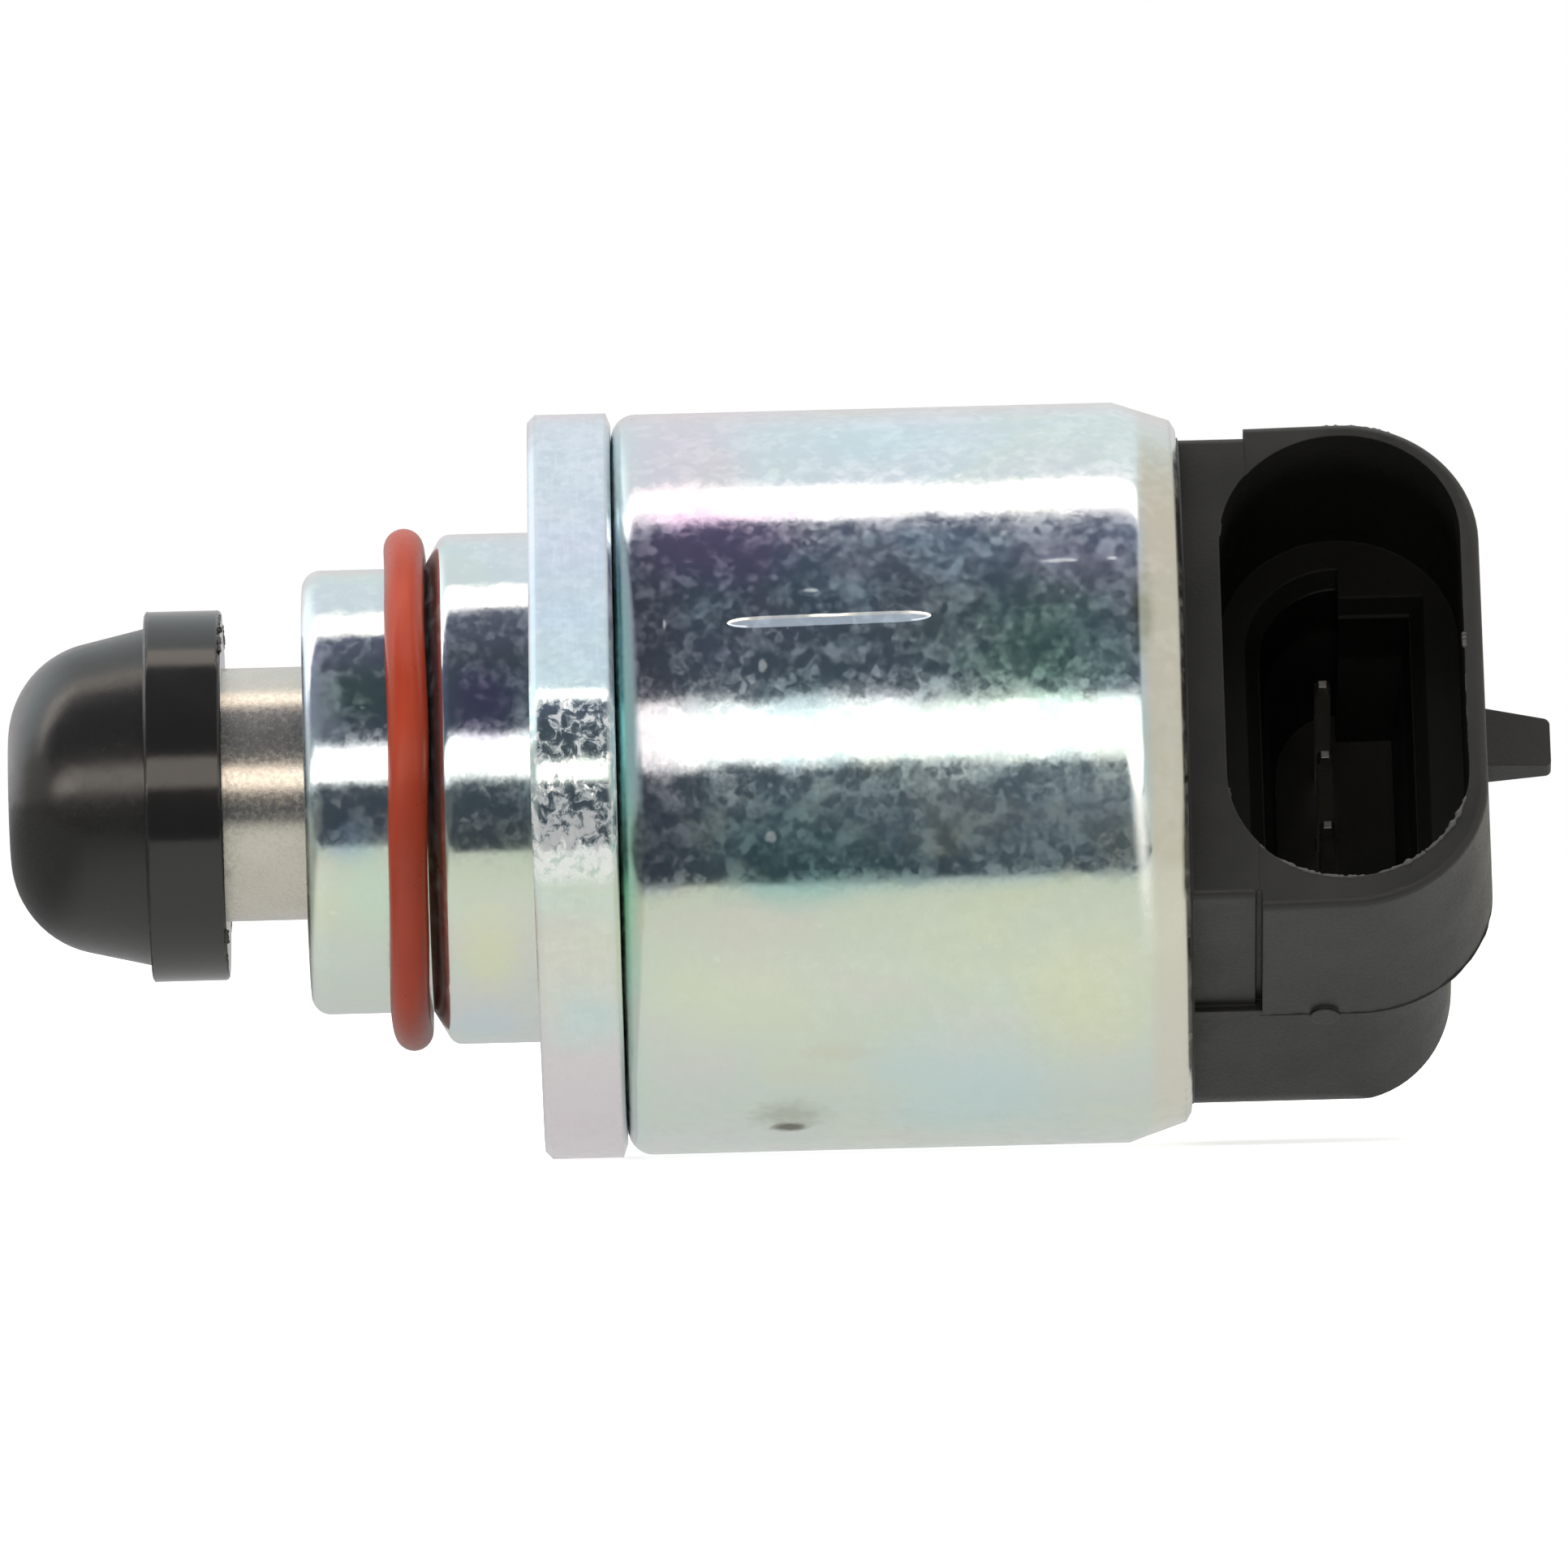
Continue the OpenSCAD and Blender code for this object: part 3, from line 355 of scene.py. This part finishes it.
def can_bevel_highlight(s):
    """A painted highlight: a bright line that slants along the bevel and fades out below, tinted pale, less
    metallic and turned towards the bright band.
    """
    place = s.math("MULTIPLY_ADD", s.angle, BEVEL_HIGHLIGHT_SLANT, s.x)
    low = s.map(s.angle, math.radians(-32.0), math.radians(-6.0))
    high = s.map(s.angle, math.radians(2.0), math.radians(8.0), 1.0, 0.0)
    bevel_highlight = s.times(s.map(s.away(place, BEVEL_HIGHLIGHT_X), 0.0, 0.46, 1.0, 0.0), s.times(low, high))
    s.paint_stain_and_light(bevel_highlight, (0.95, 0.93, 0.86), 0.8)
    s.dull(bevel_highlight, 0.7)
    s.face(s.times(bevel_highlight, s.map(s.angle, math.radians(-8.0), 0.0)), GLINT_DEGREES)


def can_plating():
    s = Zinc("can_plating", 3)
    # About the crease at the bevel the sheet keeps the cylinder's own direction, without swells or crystals.
    radial = s.node("CombineXYZ", {0: 0.0, 1: s.times(s.math("COSINE", s.angle), -1.0),
                                   2: s.math("SINE", s.angle)}).outputs[0]
    crease = s.times(s.map(s.x, BEVEL_X - 1.08, BEVEL_X - 0.98),
                     s.map(s.x, BEVEL_X + 0.32, BEVEL_X + 1.12, 1.0, 0.0))
    s.push(s.vector("SUBTRACT", radial, s.normal), crease)
    s.fog(s.map(s.x, 4.0, 24.0, -0.25, 0.1), 1.0)
    s.fog(s.map(s.away(s.angle, -0.05), 0.04, 0.22, 1.0, 0.0), 0.3)
    # Painted reflection colour: where the plating mirrors the dark room, its tint turns bluer in noisy
    # patches, and greyer there beside the flange.
    blue = s.map(s.noise(s.offset(61), 0.22, 4.0, 0.6), 0.42, 0.62)
    dim = s.map(s.away(s.angle, math.radians(12.5)), 0.47, 0.55, 1.0, 0.0)
    s.paint_stain_and_light(s.times(blue, dim), (0.50, 0.72, 0.84), 0.6)
    s.paint_stain_and_light(s.times(s.map(s.x, 4.5, 7.5, 1.0, 0.0), dim), (0.50, 0.46, 0.54), 0.6)
    s.stain_and_light_patches(CAN_R, CAN_STAINS)
    bevel = s.map(s.x, BEVEL_X + 0.62, BEVEL_X + 1.32)
    s.paint_stain_and_light(bevel, (0.84, 0.79, 0.68), s.map(s.angle, 0.8, 1.1, 0.8, 0.2))
    s.push((0.3, 0.0, 0.0), bevel)
    s.fog(bevel, -0.4)
    # Smudges, and a painted reflection of the dark room band on the bevel's start.
    s.stain_and_light_patches(CAN_R, CAN_SMUDGES_AND_BEVEL_REFLECTION)
    s.paint_stain_and_light(s.patch(9.9, -68.5, CAN_R, 0.98, 0.66, 0.7, 0.4), (0.10, 0.09, 0.06), 0.9)
    can_scratch(s)
    # The painted highlight along the bevel.
    can_bevel_highlight(s)
    # Painted reflection: a teal tint on the round shoulder at the can's front, strongest about 6 degrees
    # above -Y.
    band = s.map(s.away(s.angle, math.radians(6.0)), 0.3, 0.8, 0.8, 0.25)
    s.paint_stain_and_light(s.map(s.x, 3.7, 4.3, 1.0, 0.0), (0.50, 0.84, 0.80), band)
    for x, degrees, half_x, half_arc in CAN_NICKS:
        nick = s.patch(x, degrees, CAN_R, half_x, half_arc, 0.5, 0.9, 3.5)
        s.paint_stain_and_light(nick, (0.86, 0.90, 0.90), 0.8)
        s.dull(nick, 0.16)
    return s.done()


def nose_plating():
    s = Zinc("nose_plating", 11, -0.35)
    s.rough = s.times(s.rough, 0.85)
    s.fog(s.map(s.x, -8.9, -8.3, 1.0, 0.0), 0.6)
    s.fog(s.map(s.x, -0.9, -0.2), 0.5)
    s.fog(s.patch(-8.3, 22, BOSS_R, 1.3, 3.4, wobble=0.8, scale=1.6), 1.0)
    s.fog(s.patch(-7.0, -12, BOSS_R, 2.2, 1.0, wobble=0.8, scale=1.6), 0.8)
    s.stain_and_light_patches(BOSS_R, BOSS_STAINS)
    s.stain_and_light_patches(PILOT_R, PILOT_STAINS)
    sharp = s.edge(0.02)
    cone = s.map(s.away(s.x, CONE_X), 0.45, 0.7, 1.0, 0.0)
    s.push(s.vector("SUBTRACT", sharp, s.normal), cone)
    turned = s.noise(s.stretched((9.0, 0.3, 0.3), 12), 1.0, 2.0)
    s.push(s.vector("SUBTRACT", s.bump(turned, 0.004), sharp), 0.5)
    return s.done()


def flange_plating():
    s = Zinc("flange_plating", 23, 0.0, 0.03)
    lines = s.noise(s.stretched((7.0, 0.35, 0.35), 24), 1.0, 3.0, 0.6)
    s.fog(s.map(lines, 0.5, 0.7), 0.5)
    s.paint_stain_and_light(s.map(s.z, -16.0, -4.0, 1.0, 0.0), (0.90, 0.77, 0.88), 0.8)
    s.paint_stain_and_light(s.patch(2.0, -34, CAN_R, 2.6, 3.0, wobble=0.8, scale=0.5), (0.70, 0.86, 0.88), 0.7)
    s.paint_stain_and_light(s.map(s.z, 2.0, 12.0), (0.76, 0.80, 0.90), 0.6)
    # The ear's tip is worn through in places, most of all low down.
    tip = s.times(s.map(s.away(s.z, 0.0), 3.2, 4.4, 1.0, 0.0), s.map(s.away(s.y, 0.0), 22.0, 24.0))
    worn = s.noise(s.stretched((1.2, 1.0, 1.0), 25), 1.7, 5.0, 0.7, 0.6)
    worn = s.map(s.math("ADD", worn, s.map(s.z, -3.5, 0.2, 0.11, 0.0)), 0.45, 0.62)
    worn = s.times(worn, tip)
    s.paint_stain_and_light(worn, (0.80, 0.79, 0.77), 0.8)
    s.dull(worn, 0.42)
    s.fog(tip, -0.8)
    s.push(s.shake(s.stretched((1.3, 1.0, 0.8), 26), 2.4, 3.0, 0.6, 0.6), s.times(worn, 0.6))
    return s.done()


def plastic(name, colour, rough, seed, fine=6.0, depth=0.012, polish_from=None, rounding=0.1, **shader):
    """Moulded plastic or rubber, which is smoother beyond polish_from along X where that is given."""
    s = Surface(name, **shader)
    cloud = s.noise(s.offset(seed), 0.35, 3.0)
    grain = s.noise(s.offset(seed + 1), fine, 4.0, 0.6)
    uneven = s.math("ADD", s.times(cloud, 0.5), s.times(grain, 0.5))
    roughness = s.map(uneven, 0.3, 0.7, rough * 0.82, rough * 1.2)
    if polish_from is not None:
        roughness = s.times(roughness, s.map(s.x, polish_from, polish_from + 0.2, 2.5, 1.3))
    s.tint = s.mix(cloud, tuple(c * 0.82 for c in colour), tuple(c * 1.2 for c in colour))
    rounded = s.edge(rounding) if rounding else None
    s.set(Base_Color=s.tint, Roughness=roughness, Normal=s.bump(grain, depth, rounded))
    return s


def cap_plastic():
    """The end cap's plastic, with painted shade down in the socket, where it is duller and darker."""
    s = plastic("cap_black", (0.0142, 0.0139, 0.0130), 0.42, 41)
    lean, rise = math.cos(SOCKET_TURN), math.sin(SOCKET_TURN)
    out = s.math("MULTIPLY_ADD", s.y, -rise, s.times(s.z, lean))
    along = s.math("MULTIPLY_ADD", s.y, lean, s.math("MULTIPLY_ADD", s.z, rise, -MOUTH_SHIFT))
    along = s.math("MAXIMUM", s.math("SUBTRACT", s.math("ABSOLUTE", along), MOUTH_HALF - MOUTH_R), 0.0)
    across = s.math("SUBTRACT", s.x, MOUTH_X)
    reach = s.math("SQRT", s.math("MULTIPLY_ADD", along, along, s.times(across, across)))
    # Painted shade: down in the socket the colour darkens and the specular drops.
    socket_shade = s.times(s.map(out, MOUTH_Z - 0.36, 5.0), s.map(out, -4.0, -3.0),
                   s.map(reach, MOUTH_R + 0.38, MOUTH_R + 0.18))
    s.set(Base_Color=s.mix(socket_shade, s.tint, (0.0058, 0.0058, 0.0052)),
          Specular_IOR_Level=s.map(socket_shade, 0.0, 1.0, 0.5, 0.3))
    return s


def metal(name, colour, rough, seed, stretch=(1, 1, 1), scale=3.0, depth=0.004, metallic=1.0):
    s = Surface(name, Metallic=metallic)
    grain = s.noise(s.stretched(stretch, seed), scale, 4.0, 0.6)
    cloud = s.noise(s.offset(seed + 1), 0.5, 3.0)
    tint = s.mix(cloud, tuple(c * 0.85 for c in colour), tuple(min(c * 1.12, 1) for c in colour))
    s.set(Base_Color=tint, Roughness=s.map(grain, 0.3, 0.7, rough * 0.75, rough * 1.3),
          Normal=s.bump(grain, depth, s.edge(0.06)))
    return s


TURNED = (3, 0.2, 0.2)
EVEN = (1, 1, 1)
MATERIALS = {surface.name: surface.material for surface in (
    can_plating(),
    nose_plating(),
    flange_plating(),
    cap_plastic(),
    plastic("pintle_black", (0.010, 0.0094, 0.0088), 0.10, 31, 3.0, 0.002, BRIM_FRONT - 0.13, IOR=1.62),
    plastic("silicone_red", (0.27, 0.031, 0.011), 0.32, 51, 3.0, 0.003, rounding=0.0, IOR=1.38),
    metal("nickel", (0.72, 0.67, 0.60), 0.24, 61, EVEN, 5.0, 0.004, 0.92),
    metal("ground_steel", (0.56, 0.57, 0.59), 0.25, 62, (0.2, 1, 1), 6.0),
    metal("turned_steel", (0.48, 0.48, 0.49), 0.3, 63, TURNED),
    metal("stator_steel", (0.40, 0.42, 0.45), 0.42, 64, EVEN, 2.0, 0.01),
    metal("copper_wire", (0.72, 0.27, 0.11), 0.28, 65, EVEN, 4.0),
    metal("brass", (0.72, 0.53, 0.22), 0.28, 66, TURNED),
    metal("bronze", (0.55, 0.34, 0.16), 0.5, 67, EVEN, 7.0, 0.02),
    metal("tinned", (0.80, 0.78, 0.70), 0.4, 68, EVEN, 2.0, 0.001),
    plastic("natural_plastic", (0.72, 0.68, 0.58), 0.45, 71),
    plastic("cage_brown", (0.22, 0.13, 0.06), 0.45, 72),
    plastic("ferrite", (0.07, 0.07, 0.074), 0.55, 73, 9.0, 0.02),
    plastic("hub_grey", (0.12, 0.125, 0.135), 0.45, 74),
    # Paler plastic: worn flash, and partly a painted highlight on two nubs at the lip.
    plastic("worn_and_glint_black", (0.055, 0.053, 0.050), 0.4, 42),
    plastic("seal_black", (0.02, 0.02, 0.02), 0.5, 75),
)}
DRESS = {
    "can_plating": ["motor_can"],
    "nose_plating": ["nose_housing"],
    "flange_plating": ["flange_plate"],
    "pintle_black": ["pintle_cap"],
    "cap_black": ["end_cap"],
    "silicone_red": ["sealing_ring"],
    "nickel": ["pintle_sleeve"],
    "ground_steel": ["bearing_outer_race", "bearing_inner_race", "bearing_balls", "preload_washer"],
    "turned_steel": ["lead_screw"],
    "stator_steel": ["stator_cup_front", "stator_plate_front", "stator_plate_rear", "stator_cup_rear"],
    "copper_wire": ["coil_front", "coil_rear"],
    "brass": ["nut_insert"],
    "bronze": ["rear_bush"],
    "tinned": ["terminal_1", "terminal_2", "terminal_3", "terminal_4"],
    "natural_plastic": ["guide_bush", "former_front", "former_rear"],
    "cage_brown": ["bearing_cage"],
    "ferrite": ["rotor_magnet"],
    "hub_grey": ["rotor_hub"],
    "seal_black": ["cap_seal_ring"],
}
for material, nodes in DRESS.items():
    for node in nodes:
        for material_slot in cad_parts[node].material_slots:
            material_slot.material = MATERIALS[material]

# Small pieces that the solids leave out: mould flash, worn edges, two nubs whose paler plastic is partly a
# painted highlight, and the ring's uneven seat.
AXIS_X, AXIS_Y = Vector((1, 0, 0)), Vector((0, 1, 0))


def tube(name, points, radii, material, body, closed=False, sides=8):
    """A round strip through points in millimetres, with a radius at each of them, as a piece of its own."""
    points = [Vector(p) for p in points]
    count = len(points)
    verts, faces = [], []
    for i, (point, radius) in enumerate(zip(points, radii)):
        after = points[(i + 1) % count] if closed or i + 1 < count else point
        before = points[i - 1] if closed or i > 0 else point
        along = (after - before).normalized()
        side = along.cross(AXIS_X if abs(along.x) < 0.8 else AXIS_Y).normalized()
        other = along.cross(side)
        for k in range(sides):
            turn = 2 * math.pi * k / sides
            verts.append((point + radius * (math.cos(turn) * side + math.sin(turn) * other)) * MM)
    for i in range(count if closed else count - 1):
        a, b = i * sides, (i + 1) % count * sides
        faces += [(a + k, b + k, b + (k + 1) % sides, a + (k + 1) % sides) for k in range(sides)]
    if not closed:
        faces += [tuple(range(sides)), tuple(reversed(range((count - 1) * sides, count * sides)))]
    mesh = bpy.data.meshes.new(name)
    mesh.from_pydata(verts, [], faces)
    mesh.shade_smooth()
    mesh.materials.append(MATERIALS[material])
    piece = bpy.data.objects.new(name, mesh)
    bpy.context.scene.collection.objects.link(piece)
    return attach(piece, body)


def ridge(name, point_at, start, end, count, size, uneven, seed, material, body):
    """Flash along an edge: an uneven strip that thins out at both ends."""
    dice = random.Random(seed)
    shares = [i / (count - 1) for i in range(count)]
    radii = [size * (0.35 + uneven * dice.random()) * min(1.0, 0.15 + 6 * min(t, 1 - t)) for t in shares]
    tube(name, [point_at(start + (end - start) * t) for t in shares], radii, material, body, sides=6)


def on_circle(x, r, angle):
    return (x, -r * math.cos(angle), r * math.sin(angle))


def wavy_ring():
    """The sealing ring as it lies on its seat: it wanders a little along the valve."""
    count = 160
    points, radii = [], []
    for i in range(count):
        a = 2 * math.pi * i / count
        x = RING_X + 0.10 * math.sin(a + 0.6) + 0.05 * math.sin(3 * a + 1.0) + 0.025 * math.sin(7 * a)
        radii.append(RING_SECTION_R + 0.018 * math.sin(2 * a + 0.4) + 0.012 * math.sin(5 * a))
        points.append(on_circle(x, BOSS_R + radii[-1], a))
    ring = tube("ring_seated", points, radii, "silicone_red", "body", closed=True, sides=28)
    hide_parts("sealing_ring")


wavy_ring()

# Nicks of flash along the brim's rear edge: start and end in degrees above -Y, and size.
BRIM_FLASH = [(50, 60, 0.12), (63, 66, 0.14), (68, 82, 0.07), (-54, -47, 0.15), (-70, -60, 0.06),
              (12, 30, 0.05), (-30, -5, 0.04), (110, 128, 0.10), (200, 230, 0.08)]


def on_brim(x, r):
    return lambda degrees: on_circle(x, r, math.radians(degrees))


for i, (start, end, size) in enumerate(BRIM_FLASH):
    ridge(f"brim_flash_{i}", on_brim(BRIM_REAR - 0.02, BRIM_R - 0.1), start, end, 22, size, 0.6, 300 + i,
          "pintle_black", "pintle")
ridge("brim_line", on_brim(BRIM_FRONT + 0.12, BRIM_R - 0.045), -178, 178, 140, 0.075, 0.5, 320,
      "pintle_black", "pintle")


def socket(x, y, z):
    """A point of the socket's own frame in the part's frame."""
    lean, rise = math.cos(SOCKET_TURN), math.sin(SOCKET_TURN)
    return (x, y * lean - z * rise, y * rise + z * lean)


def on_mouth(degrees):
    """The mouth's inner lip, by the angle from +X about the nearer end's centre."""
    a = math.radians(degrees)
    x = MOUTH_R * math.cos(a)
    y = MOUTH_R * math.sin(a) + math.copysign(MOUTH_HALF - MOUTH_R, math.sin(a))
    return socket(MOUTH_X + x, MOUTH_SHIFT + y, MOUTH_Z + x * DRAFT - 0.02)


def on_side(y):
    """The mouth's straight inner side on the right."""
    return socket(MOUTH_X + MOUTH_R, MOUTH_SHIFT + y, MOUTH_Z + MOUTH_R * DRAFT - 0.05)


def on_seam(length):
    """The parting line on the shroud's lower side: straight, then round the shroud's end."""
    centre = MOUTH_X + (MOUTH_Z - SEAM_Z) * DRAFT
    if length < 0:
        return socket(centre + length, -SHROUD_HALF, SEAM_Z)
    a = length / SHROUD_R
    return socket(centre + SHROUD_R * math.sin(a), SHROUD_R * (1 - math.cos(a)) - SHROUD_HALF, SEAM_Z)


def on_rim(length):
    """The outer edge of the lip at the mouth's upper end."""
    a = max(length, 0.0) / SHROUD_R
    x = min(length, 0.0) + SHROUD_R * math.sin(a)
    y = SHROUD_HALF - SHROUD_R * (1 - math.cos(a)) - 0.06
    return socket(MOUTH_X + x, y, MOUTH_Z + x * DRAFT - 0.3)


# Flash and burrs on the socket: path, start and end on it, size, unevenness and material.
SOCKET_FLASH = [
    (on_mouth, -14, -78, 0.12, 1.0, "worn_and_glint_black"),
    (on_mouth, -80, -128, 0.06, 1.4, "worn_and_glint_black"),
    (on_mouth, -132, -165, 0.04, 1.0, "worn_and_glint_black"),
    (on_side, -4.8, -0.5, 0.03, 1.2, "worn_and_glint_black"),
    (on_side, 0.1, 0.9, 0.26, 0.2, "worn_and_glint_black"),
    (on_seam, -4.0, 8.6, 0.06, 0.9, "cap_black"),
    (on_rim, -0.9, 2.6, 0.17, 0.35, "cap_black"),
    # The last two rows are nubs at the left end of the mouth's lip; their paler plastic is partly a painted
    # highlight, where the lip glints.
    (on_mouth, 168, 176, 0.07, 0.8, "worn_and_glint_black"),
    (on_mouth, -174, -168, 0.07, 1.0, "worn_and_glint_black"),
]
for i, (path, start, end, size, uneven, material) in enumerate(SOCKET_FLASH):
    ridge(f"cap_flash_{i}", path, start, end, 40, size, uneven, 340 + i, material, "body")

# The studio: a pale floor, a white backdrop and a darker room in front, which the metal shows as bands.
FLOOR_Z = -15.12 * MM
FLOOR_FRONT = -32 * MM
FLOOR_SHOWN = 50 * MM
# What shiny surfaces see of the room: degrees above -Y in the plane across the valve, and the colour there.
DARK, HOT, SKY, SIDE = (0.036, 0.046, 0.061), (2.00, 1.80, 1.60), (0.73, 0.79, 0.81), (0.62, 0.60, 0.54)
ROOM = [(-180, SKY), (-60, SKY), (-30, DARK), (3.8, DARK), (7.0, HOT), (23.0, HOT),
        (25.6, (0.12, 0.13, 0.14)), (31, DARK), (62, DARK), (86, (0.08, 0.09, 0.13)),
        (89.4, (0.3, 0.31, 0.34)), (91.2, HOT), (103.2, HOT), (106.0, SKY), (148, SKY),
        (166, (0.72, 0.70, 0.71)), (180, (0.72, 0.70, 0.71))]
SOFT_ROOM = [(-180, (0.6, 0.6, 0.6)), (-60, (0.6, 0.6, 0.6)), (-20, (0.24, 0.25, 0.26)),
             (70, (0.30, 0.31, 0.33)), (95, (0.95, 0.96, 0.97)), (130, (0.95, 0.96, 0.97)),
             (180, (0.75, 0.75, 0.75))]
# A ramp holds colours up to 1, so the room's colours go in divided by this and come out times it.
ROOM_RANGE = 2.0


def room_colour(tree, direction, bands):
    parts = tree.node("SeparateXYZ", {0: direction}).outputs
    turn = tree.math("ARCTAN2", parts[2], tree.math("MULTIPLY", parts[1], -1.0))
    colour = tree.around(turn, [(degrees, tuple(v / ROOM_RANGE for v in c)) for degrees, c in bands])
    colour = tree.scaled(colour, tree.map(parts[0], -0.2, -0.7, 1.0, 1.7))
    side = tree.math("MAXIMUM", tree.map(parts[0], 0.22, 0.50), tree.map(parts[0], -0.84, -0.96))
    return tree.scaled(tree.mix(side, colour, tuple(v / ROOM_RANGE for v in SIDE)), ROOM_RANGE)


def studio_world():
    """White for the camera, bands for shiny surfaces and a soft light for the rest."""
    world = bpy.data.worlds.new("studio")
    bpy.context.scene.world = world
    world.use_nodes = True
    w = Tree(world.node_tree)
    direction = w.node("TexCoord").outputs["Generated"]
    rays = w.node("LightPath").outputs
    shiny = w.math("MAXIMUM", rays["Is Glossy Ray"], rays["Is Transmission Ray"])
    colour = w.mix(shiny, room_colour(w, direction, SOFT_ROOM), room_colour(w, direction, ROOM))
    colour = w.mix(rays["Is Camera Ray"], colour, (1, 1, 1))
    background = w.node("Background", {"Color": colour, "Strength": 1.0})
    w.tree.links.new(background.outputs[0], w.node("OutputWorld").inputs[0])


def floor_mirrored(f):
    """What shiny surfaces see of the floor: pale bands up to its front edge, darker at the nose's end."""
    ground = f.node("SeparateXYZ", {0: f.node("TexCoord").outputs["Object"]}).outputs
    edge = (FLOOR_FRONT + FLOOR_SHOWN) / (2 * FLOOR_SHOWN)
    colour = f.ramp(f.map(ground[1], -FLOOR_SHOWN, FLOOR_SHOWN, smooth=False), [
        (0.0, DARK), (edge - 0.012, DARK), (edge, (0.63, 0.65, 0.61)), (0.34, (0.70, 0.72, 0.68)),
        (0.55, (0.62, 0.63, 0.61)), (0.75, (0.56, 0.57, 0.58)), (1.0, (0.60, 0.60, 0.58))])
    colour = f.mix(f.map(ground[0], 50 * MM, 60 * MM), colour, SIDE)
    colour = f.mix(f.map(ground[0], -19 * MM, -32 * MM, 0.0, 0.75), colour, (0.12, 0.12, 0.12))
    return f.node("Emission", {"Color": colour, "Strength": 1.0}).outputs[0]


def studio_floor():
    mesh = bpy.data.meshes.new("floor")
    mesh.from_pydata([(-3, -3, 0), (3, -3, 0), (3, 3, 0), (-3, 3, 0)], [], [(0, 1, 2, 3)])
    floor = bpy.data.objects.new("floor", mesh)
    floor.location.z = FLOOR_Z
    bpy.context.scene.collection.objects.link(floor)
    material = bpy.data.materials.new("floor")
    material.use_nodes = True
    f = Tree(material.node_tree)
    rays = f.node("LightPath").outputs
    white = f.node("BsdfDiffuse", {"Color": (0.80, 0.80, 0.80, 1)}).outputs[0]
    glow = f.node("Emission", {"Color": (1, 1, 1, 1), "Strength": 0.7}).outputs[0]
    seen = f.node("AddShader", {0: white, 1: glow}).outputs[0]
    lit = f.node("MixShader", {0: rays["Is Camera Ray"], 1: white, 2: seen}).outputs[0]
    shade = f.node("MixShader", {0: rays["Is Glossy Ray"], 1: lit, 2: floor_mirrored(f)}).outputs[0]
    f.tree.links.new(shade, f.node("OutputMaterial").inputs[0])
    mesh.materials.append(material)


def lamp(name, place, target, size, power):
    data = bpy.data.lights.new(name, "AREA")
    data.shape = "RECTANGLE"
    data.size, data.size_y = size
    data.energy = power
    item = bpy.data.objects.new(name, data)
    item.location = place
    item.rotation_euler = (Vector(target) - Vector(place)).to_track_quat("-Z", "Y").to_euler()
    item.visible_glossy = False
    item.visible_camera = False
    bpy.context.scene.collection.objects.link(item)


studio_world()
studio_floor()
lamp("top", (0.0, -0.15, 0.6), (0.01, 0, 0), (0.6, 0.4), 5.5)
lamp("front", (-0.2, -0.7, 0.25), (0.01, 0, 0), (0.4, 0.4), 0.8)
